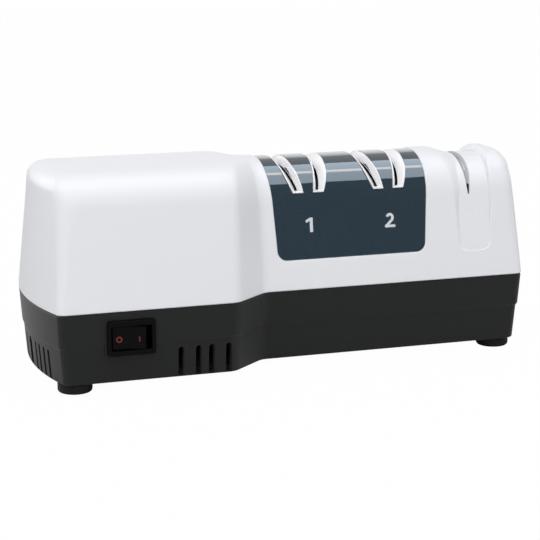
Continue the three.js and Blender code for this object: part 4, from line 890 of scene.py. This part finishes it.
MOTOR_X = -68.0
SCREWS = mirrored((-70, 37), (80, 17.5))
FEET = mirrored((-111.2, 34.5), (114.3, 17.5))
SWITCH_X, SWITCH_Z, SEAT_Y = -86.45, 26.7, -45.9
PAD_WIDTH = 9.0

tongue = solid("tongue", [cover_level(z, 3.3) for z in (33.3, SEAM, 42.3)])
carve(tongue, [solid("tongue_inside", [cover_level(z, 4.8) for z in (30, SEAM, 45)])])
bosses = rods("boss", 5.2, 6.3, BASE_TOP, SCREWS)
carve(tongue, rods("notch", 5.5, BASE_TOP, 50, SCREWS))
posts = [block("post", about(MOTOR_X, 9), about(y, PAD_WIDTH / 2), (6.3, 20)) for y in (-23.5, 23.5)]
seat = switch_room("seat", 12.2, 8.9, (SEAT_Y, -39))
carve(base, [tongue, seat, *bosses, *posts], "UNION")
print("tub with its inside:", len(base.data.polygons), "faces")

# %% [markdown]
# ## Vents and openings
#
# Four louvres with round heads open the front near the jog, and the left end has eight more
# round a wider one. They end just above the bottom edge. Each is a prism through one wall.

# %% Openings of the base
VENT_TOP, LOW = 19.8, 5.4


def vent_outline(middle, width):
    """A slot with a round head and a flat foot."""
    half = width / 2
    head = arc((middle, VENT_TOP - half), half, 0, 180, 12)
    return np.concatenate([[(middle - half, LOW), (middle + half, LOW)], head])


FRONT_VENTS = (-61.7, -53.1, -46.6, -38.1)
END_VENTS = [side * y for y in (28.9, 23.0, 16.6, 10.5) for side in (-1, 1)]
FRONT_WALL, END_WALL = (-55, -39), (-135, -119)
vents = [prism("vent", "y", vent_outline(x, 3.0), *FRONT_WALL) for x in FRONT_VENTS]
vents += [prism("vent", "x", vent_outline(y, 2.4), *END_WALL) for y in END_VENTS]
vents.append(prism("vent", "x", vent_outline(0, 5.5), *END_WALL))
SCREW_SEAT = 27.0
wells = rods("well", 3.9, 1, SCREW_SEAT, SCREWS)
wells += rods("shank_hole", 2.3, 5, 50, SCREWS)
wells += rods("foot_hole", 3.3, 1, 12, FEET)
INLET_X, INLET_Z = -96.0, 14.0
wells.append(rod("inlet_hole", 5.3, 38, 52, "y", (INLET_X, 0, INLET_Z)))
DOOR_X, DOOR_LENGTH, DOOR_WIDTH = 28.0, 66.0, 30.0
door_room = lambda grow, z: block(
    "door_room", about(DOOR_X, DOOR_LENGTH / 2 + grow), about(0, DOOR_WIDTH / 2 + grow), z)
switch_hole = switch_room("switch_hole", 10.9, 6.85, (-52, -32))
switch_seat = switch_room("switch_seat", 12.1, 8.8, (-55, SEAT_Y))
door_rooms = [door_room(-2.0, (1, 9)), door_room(0.3, (1, 6.5))]
carve(base, [*vents, *wells, *door_rooms, switch_hole, switch_seat])
dress(base, "dark_abs", replaces=("base_housing",))

# %% [markdown]
# ## Feet
#
# Four pressed rubber feet sit in holes of the base. Each is a turned profile with a rounded
# lower edge and a stem that passes through the floor.

# %% Feet
foot_profile = [
    (0.001, 0.0), *arc((6.65, 1.6), 1.6, -90, 0), *arc((7.95, 4.4), 0.3, 0, 90, 3),
    (3.0, 4.7), (3.0, 11.0), (0.001, 11.0),
]
for (end, row), (x, y) in FEET.items():
    foot = turned(f"rubber_foot_{row}_{end}", foot_profile, place=(x, y, 0), sides=64)
    dress(foot, "foot_rubber", replaces=(f"foot_{row}_{end}",))

# %% [markdown]
# ## The switch
#
# A rounded rectangle is carried along a profile: from the body's back forward to the seat, out
# to the bezel's rim, over its rounded front edge and back down the inside. The rocker is a
# shallow V in plan, tilted so that its left half is pressed in at rest. It rides on its own
# body.

# %% Switch housing and rocker
def rounded_rectangle(width, height, radius):
    """A closed ring in a plane: four quarter arcs between straight sides."""
    reach = np.array([width / 2 - radius, height / 2 - radius])
    return np.concatenate([
        arc(reach * [sx, sy], radius, start, start + 90)
        for start, sx, sy in ((0, 1, 1), (90, -1, 1), (180, -1, -1), (270, 1, -1))
    ])


def rectangle_rings(rows, centre):
    """Rounded rectangles (width, height, radius, y) standing one behind the other along Y."""
    rings = []
    for width, height, radius, y in rows:
        flat = rounded_rectangle(width, height, radius)
        rings.append(np.insert(flat + centre, 1, y, axis=1))
    return rings


FACE_Y, RIM_Y = SEAT_Y - 1.5, SEAT_Y - 0.3
BACK_Y = RIM_Y + 12.5
switch_rows = [
    (21.2, 13.1, 0.6, BACK_Y), (21.2, 13.1, 0.6, RIM_Y), (23.4, 16.9, 1.4, RIM_Y),
    (23.4, 16.9, 1.4, FACE_Y + 0.45), (23.2, 16.7, 1.3, FACE_Y + 0.15), (22.8, 16.3, 1.1, FACE_Y),
    (19.9, 11.9, 0.8, FACE_Y), (19.6, 11.5, 0.7, FACE_Y + 0.1), (19.4, 11.3, 0.6, FACE_Y + 0.4),
    (19.4, 11.3, 0.6, BACK_Y - 0.9),
]
switch = solid("switch_bezel", rectangle_rings(switch_rows, (SWITCH_X, SWITCH_Z)))
dress(switch, "switch_black", replaces=("switch_housing",))

# The paddle's face is a V of 10 degrees to each side whose middle is rounded: the height follows
# the root of x squared plus a little, which is a hyperbola.
PIVOT = np.array([SWITCH_X, -40.3])
PADDLE_ANGLE, PADDLE_FACE, PADDLE_BACK, SOFTNESS = 10, -6.0, 3.0, 0.6
half_length, rocker_height = 7.8, 10.7
corner_y = PADDLE_FACE + 0.1 - half_length * slope(PADDLE_ANGLE)
bow_x = np.linspace(-half_length + 0.5, half_length - 0.5, 25)
lift = np.sqrt(bow_x**2 + SOFTNESS) - np.sqrt(SOFTNESS)
front = PADDLE_FACE - slope(PADDLE_ANGLE) * lift
paddle = [(-half_length, corner_y), *zip(bow_x, front), (half_length, corner_y),
          (6.8, PADDLE_BACK), (-6.8, PADDLE_BACK)]
tilt = np.radians(-PADDLE_ANGLE)
turn_in = np.array([[np.cos(tilt), -np.sin(tilt)], [np.sin(tilt), np.cos(tilt)]])
paddle = np.array(paddle) @ turn_in.T + PIVOT
rocker = prism("rocker_paddle", "z", paddle, *about(SWITCH_Z, rocker_height / 2))
carve(rocker, [rod("pins", 1.2, SWITCH_Z - 6.1, SWITCH_Z + 6.1, place=(*PIVOT, 0))], "UNION")
bevel = rocker.modifiers.new("bevel", "BEVEL")
bevel.width, bevel.segments = 0.35 * MM, 3
bevel.limit_method, bevel.angle_limit = "ANGLE", np.radians(40)
apply_all(rocker)
dress(rocker, "switch_black", body="rocker", replaces=("switch_rocker",))

# %% [markdown]
# ## Marks on the rocker
#
# The usual ring for OFF and bar for ON are printed on the two halves. Each is a thin raised
# solid on its half of the paddle, so it tilts with the rocker.

# %% Switch marks
def on_paddle(flat, along, height):
    """Places (across, up, out) points on the paddle's half that holds x = along."""
    flat = np.asarray(flat, float)
    lean = slope(PADDLE_ANGLE) * np.sign(along)
    x = flat[..., 0] + along
    y = PADDLE_FACE - lean * x - flat[..., 2]
    plane = np.stack([x, y], axis=-1) @ turn_in.T + PIVOT
    return np.stack([plane[..., 0], plane[..., 1], SWITCH_Z + height + flat[..., 1]], axis=-1)


MARK_THICK = 0.04
MARK_DROP, OFF_ALONG, ON_ALONG = -0.6, -4.7, 4.8
OFF_OUTER, OFF_INNER = 1.5, 0.8
circle = arc((0, 0), 1, 0, 360, 48)[:-1]
off_rings = [np.insert(circle * radius, 2, out, axis=1) for radius, out in (
    (OFF_OUTER, 0), (OFF_OUTER, MARK_THICK), (OFF_INNER, MARK_THICK), (OFF_INNER, 0))]
off_mark = loop_solid("mark_off", on_paddle(off_rings, OFF_ALONG, MARK_DROP))
bar = np.array([[-0.3, -1.2], [0.3, -1.2], [0.3, 1.2], [-0.3, 1.2]])
bar_rings = [np.insert(bar, 2, out, axis=1) for out in (0, MARK_THICK)]
on_mark = solid("mark_on", on_paddle(bar_rings, ON_ALONG, MARK_DROP))
for mark in (off_mark, on_mark):
    dress(mark, "mark_ink", body="rocker")

# %% [markdown]
# ## Stage numbers
#
# A light grey 1 and 2 stand on the panel under their slots, and a faint raised 3 is moulded in
# the channel. Round strokes have one thickness along a centre line, as a sign writer draws them,
# so their weight can be set freely, and straight ones are plain outlines. The strokes are joined
# and laid on the leaning front wall.

# %% Digits
def stroke(line, thick):
    """The outline of a stroke: the centre line moved sideways by half its thickness, both ways."""
    line = np.asarray(line, float)
    run = np.gradient(line, axis=0)
    side = np.stack([-run[:, 1], run[:, 0]], axis=1) / np.linalg.norm(run, axis=1)[:, None]
    return np.concatenate([line + side * thick / 2, (line - side * thick / 2)[::-1]])


BURIED, INK, RAISED = 0.05, 0.04, 0.12


def digit(name, outlines, x, low, depth, raised):
    """Strokes laid on the front wall from a height up, on a surface sunk by depth."""
    pieces = [prism(name, "z", outline, 0.0, 1.0) for outline in outlines]
    made = carve(pieces[0], pieces[1:], "UNION")
    points = np.empty(len(made.data.vertices) * 3)
    made.data.vertices.foreach_get("co", points)
    across, up, out = points.reshape(-1, 3).T / MM
    y, z, ny, nz = section(front_walk(low) + up)
    out = out * (raised + BURIED) - depth - BURIED
    placed = np.column_stack([x + across, y + out * ny, z + out * nz])
    made.data.vertices.foreach_set("co", (placed * MM).ravel())
    face_out(made)
    return made


one = [[(-0.1, 0), (1.5, 0), (1.5, 7.1), (0.1, 7.1), (-0.1, 6.8)],
       [(-2.2, 5.9), (-2.0, 4.6), (0.2, 5.6), (0.3, 7.1), (0.1, 7.1)]]
neck_of_two = arc((-1.2, 4.6), 2.5, -5, -20, 4)
two = [stroke([*arc((-0.05, 5.0), 1.45, 168, -20, 16), *neck_of_two, (-2.0, 0.75)], 1.35),
       [(-2.75, 0), (2.75, 0), (2.75, 1.3), (-2.75, 1.3)]]
three = [stroke(arc((0, 4.3), 1.1, 155, -70, 16), 0.6), stroke(arc((0, 1.75), 1.45, 75, -155, 16), 0.6)]
for text, outlines, x, low in (("1", one, 10.0, 67.2), ("2", two, 52.5, 67.1)):
    printed = digit(f"stage_number_{text}", outlines, x, low, PANEL_DEPTH, INK)
    dress(printed, "digit_ink")
faint = digit("stage_number_3", three, 97.0, 69.1, float(channel_depth(72.0)), RAISED)
dress(faint, "white_abs")

# %% [markdown]
# ## Rear and underside
#
# The mains lead would enter through a rubber bush low on the rear. Underneath are the clean-out
# door with its finger grooves and four screws with cross recesses.

# %% Inlet bush, door and screws
wall_y = MOTOR_DEPTH / 2 - base_inset(INLET_Z)[0]
bush_profile = [
    (3.2, wall_y - 5.1), (5.0, wall_y - 5.1), (5.0, wall_y + 0.3), (6.5, wall_y + 0.3),
    *arc((5.9, wall_y + 1.3), 0.6, 0, 90, 4), *arc((3.8, wall_y + 1.3), 0.6, 90, 180, 4),
]
bush = loop_solid("inlet_bush", turned_rings(bush_profile, "y", (INLET_X, 0, INLET_Z)))
dress(bush, "foot_rubber", replaces=("cord_inlet_bush",))

HEAD_HEIGHT, SCREW_GAP = 2.6, 0.3
screw_profile = [
    (0.001, -HEAD_HEIGHT), (3.1, -HEAD_HEIGHT), *arc((3.1, 0.5 - HEAD_HEIGHT), 0.5, -90, 0, 3),
    (3.6, 0.0), (2.0, 0.0), (2.0, 24.0), (0.001, 24.0),
]
for (end, row), (x, y) in SCREWS.items():
    screw = turned(f"screw_{row}_{end}", screw_profile, place=(x, y, SCREW_SEAT - SCREW_GAP))
    low = SCREW_SEAT - SCREW_GAP - HEAD_HEIGHT
    arms = [block("arm", about(x, a), about(y, b), (low - 1, low + 1.4))
            for a, b in ((2.0, 0.4), (0.4, 2.0))]
    carve(screw, arms)
    dress(screw, "zinc_steel", replaces=(f"case_screw_{row}_{end}",))

door_at = lambda g: rounded_rectangle(DOOR_LENGTH - 2 * g, DOOR_WIDTH - 2 * g, 2.0) + [DOOR_X, 0]
door_rings = [np.insert(door_at(g), 2, z, axis=1)
              for g, z in ((0.4, 5.0), (0.1, 5.12), (0.0, 5.4), (0.0, 6.2))]
door = solid("clean_out_door", door_rings)
plug = block("plug", about(DOOR_X, 30.7), (-12.7, 12.7), (6.0, 7.5))
cheeks = [block("cheek", about(x, 0.6), (-4, 4), (7.0, 9.5)) for x in about(DOOR_X, 20.9)]
carve(door, [plug, *cheeks], "UNION")
grooves = [rod("groove", 0.8, -9, 9, "y", (DOOR_X + 22 + 3 * k, 0, 4.7), 16) for k in range(3)]
carve(door, grooves)
dress(door, "dark_abs", body="clean_out", replaces=("clean_out_cover",))

# %% [markdown]
# ## Finishes of the pieces inside
#
# The CAD nodes that stay are shown as they are, and get the finish of what they are made of. The
# stacked sheets of the core show as fine lines and the winding's tape as broad bands. Sintered
# bronze and diamond grit look dull and speckled, the die-cast rotor and the drawn copper shine
# softly, and natural nylon is a warm, waxy white. The leads are in coloured PVC and the magnet is
# dark, dull ferrite. The record says which slot each node takes its finish from.

# %% Inside finishes
finishes.update({
    "core_steel": surface(
        "core_sheets_stacked", ("#5D6164", "#7B7F82"), (0.45, 0.6), "TexWave", 1.0,
        relief=0.02, Metallic=1.0),
    "copper_wire": surface(
        "copper_bar_drawn", ("#A5592D", "#B36436"), (0.3, 0.42), "TexNoise", 0.5, Metallic=1.0,
        relief=0.002, stretch=(0.2, 1, 1)),
    "taped_winding": surface(
        "winding_in_polyester_tape", ("#C2AC4E", "#D0BB62"), (0.4, 0.55), "TexWave", 4.0,
        relief=0.03, stretch=(0, 1, 0.2)),
    "sintered_bronze": surface(
        "bronze_sintered", ("#8F6C34", "#B78D4A"), (0.4, 0.6), "TexVoronoi", 0.5,
        relief=0.01, Metallic=1.0),
    "rotor_aluminium": surface(
        "aluminium_die_cast", ("#A9ACAF", "#C0C3C5"), (0.38, 0.52), "TexNoise", 1.2,
        relief=0.01, Metallic=1.0),
    "diamond_abrasive": surface(
        "diamond_grit_on_nickel", ("#77797B", "#96989A"), (0.55, 0.8), "TexVoronoi", 0.25,
        relief=0.04, Metallic=0.7),
    "natural_nylon": surface(
        "nylon_natural_moulded", ("#D6D2C2", "#DEDBCE"), (0.45, 0.55), "TexNoise", 0.6,
        relief=0.004, IOR=1.53),
    "lead_red": surface(
        "pvc_lead_red", ("#8A211E", "#962825"), (0.4, 0.5), "TexNoise", 0.6, relief=0.004),
    "lead_blue": surface(
        "pvc_lead_blue", ("#203C88", "#294694"), (0.4, 0.5), "TexNoise", 0.6, relief=0.004),
    "ferrite": surface(
        "ferrite_sintered", ("#38383A", "#424244"), (0.5, 0.7), "TexVoronoi", 0.4,
        relief=0.01, Metallic=0.3),
})
slots = {part["node"]: part["material_slot"] for part in frame["record"]["subparts"]}
for name, node in nodes.items():
    node.data.materials.clear()
    node.data.materials.append(finishes[slots[name]])
print("finished nodes:", len(nodes))

# %% [markdown]
# ## Floor, world and light
#
# The picture has a plain white ground. The floor and the world are white to the camera through
# Light Path; for the other rays they are an ordinary pale floor and a soft fill, so the
# background adds no light.

# %% Floor and world
FLOOR_REACH = 3000.0
floor_points = np.array([(-1, -1, 0), (1, -1, 0), (1, 1, 0), (-1, 1, 0)]) * FLOOR_REACH
floor = new_object("floor", floor_points, [(0, 1, 2, 3)])


def seen(tree, rays):
    """1 for the named kinds of rays, 0 for the rest."""
    path = add(tree, "LightPath").outputs
    total = path[rays[0]]
    for ray in rays[1:]:
        total = add(tree, "Math", {0: total, 1: path[ray]}, operation="ADD", use_clamp=True).outputs[0]
    return total


WHITE_SHARE, FILL_LIGHT = 0.985, 0.655
floor_paint = bpy.data.materials.new("floor_matt_paint")
tree = new_tree(floor_paint)
paint = add(tree, "BsdfDiffuse", {"Color": linear("#DADADA")})
white = add(tree, "Emission", {"Color": (1, 1, 1, 1), "Strength": 1.0})
shown = add(tree, "MixShader", {0: WHITE_SHARE, 1: paint.outputs[0], 2: white.outputs[0]})
to_camera = seen(tree, ["Is Camera Ray"])
either = add(tree, "MixShader", {0: to_camera, 1: paint.outputs[0], 2: shown.outputs[0]})
add(tree, "OutputMaterial", {"Surface": either.outputs[0]})
floor.data.materials.append(floor_paint)

world = bpy.data.worlds.new("studio")
bpy.context.scene.world = world
tree = new_tree(world)
fill = add(tree, "Background", {"Color": linear("#FFFFFF"), "Strength": FILL_LIGHT})
backdrop = add(tree, "Background", {"Color": (1, 1, 1, 1), "Strength": 1.0})
to_eye = seen(tree, ["Is Camera Ray", "Is Glossy Ray", "Is Transmission Ray"])
either = add(tree, "MixShader", {0: to_eye, 1: fill.outputs[0], 2: backdrop.outputs[0]})
add(tree, "OutputWorld", {"Surface": either.outputs[0]})
print("floor:", 2 * FLOOR_REACH * MM, "m wide; fill light", FILL_LIGHT)

# %% [markdown]
# ## Lamps and cards
#
# A photographer shapes the reflections in a glossy panel with long cards. The edges of the bright
# band on the panel's round run along the body, so the cards are strips of a wide drum round the
# body's own axis. A dark one in front keeps the panel's face deep, light ones overhead draw the
# band with its bright line, and grey ones behind darken the top. A short one on the left lightens
# the base's end. The cards are seen only in reflections, and the two wide, soft lamps, above and
# in front on the left, only light.

# %% Lamps and cards
def lamp(name, place, aim, size, power):
    """A square soft lamp at a place in millimetres that looks at another place."""
    data = bpy.data.lights.new(name, "AREA")
    data.shape, data.size, data.energy = "SQUARE", size * MM, power
    made = put(name, data, place)
    direction = Vector(aim) - Vector(place)
    made.rotation_euler = direction.to_track_quat("-Z", "Y").to_euler()
    made.visible_glossy = False


lamp("key_lamp", (-250, -580, 1500), (0, 0, 50), 900, 10.8)
lamp("fill_lamp", (-700, -1200, 450), (0, 0, 50), 800, 2.2)
CARD_STEPS, WIDE = 24, (-3, 3)


def card(name, turn, along, radius, strength, colour="#FFFFFF"):
    """A strip of a drum round the X axis, seen only in reflections.

    turn is its range in degrees from the front over the top, along its range of x in metres."""
    angle, x = np.radians(np.linspace(*turn, CARD_STEPS + 1)), np.array(along) / MM
    first = np.stack([0 * angle + x[0], -radius * np.cos(angle), radius * np.sin(angle)], axis=1)
    last = first + [x[1] - x[0], 0, 0]
    i = np.arange(CARD_STEPS)
    faces = np.stack([i, i + 1, i + CARD_STEPS + 2, i + CARD_STEPS + 1], axis=1).tolist()
    made = new_object(name, np.concatenate([first, last]), faces)
    made.visible_camera = made.visible_diffuse = made.visible_shadow = False
    made.visible_transmission = False
    paper = bpy.data.materials.new(name + "_paper")
    tree = new_tree(paper)
    glow = add(tree, "Emission", {"Color": linear(colour), "Strength": strength})
    add(tree, "OutputMaterial", {"Surface": glow.outputs[0]})
    made.data.materials.append(paper)


CARDS = [
    ("front_flag", (-2, 55), WIDE, 2500, 0.03),
    ("light_band_low", (55, 84), WIDE, 2500, 2.2, "#E2F2FF"),
    ("light_band_high", (84, 110), WIDE, 2500, 2.7, "#E2F2FF"),
    ("bright_strip", (80, 88), WIDE, 2450, 3.2),
    ("bright_core", (82, 86.5), WIDE, 2400, 4.4),
    ("rear_card", (110, 145), WIDE, 2500, 0.45),
    ("horizon_card", (145, 179), WIDE, 2500, 0.9),
    ("left_card", (120, 179), (-3, -0.85), 2450, 3.5),
]
for values in CARDS:
    card(*values)
print("cards:", len(CARDS))

# %% [markdown]
# ## Last step
#
# The view transform is Standard, so a colour comes out as it was written.

# %% Finish
bpy.context.scene.view_settings.view_transform = "Standard"
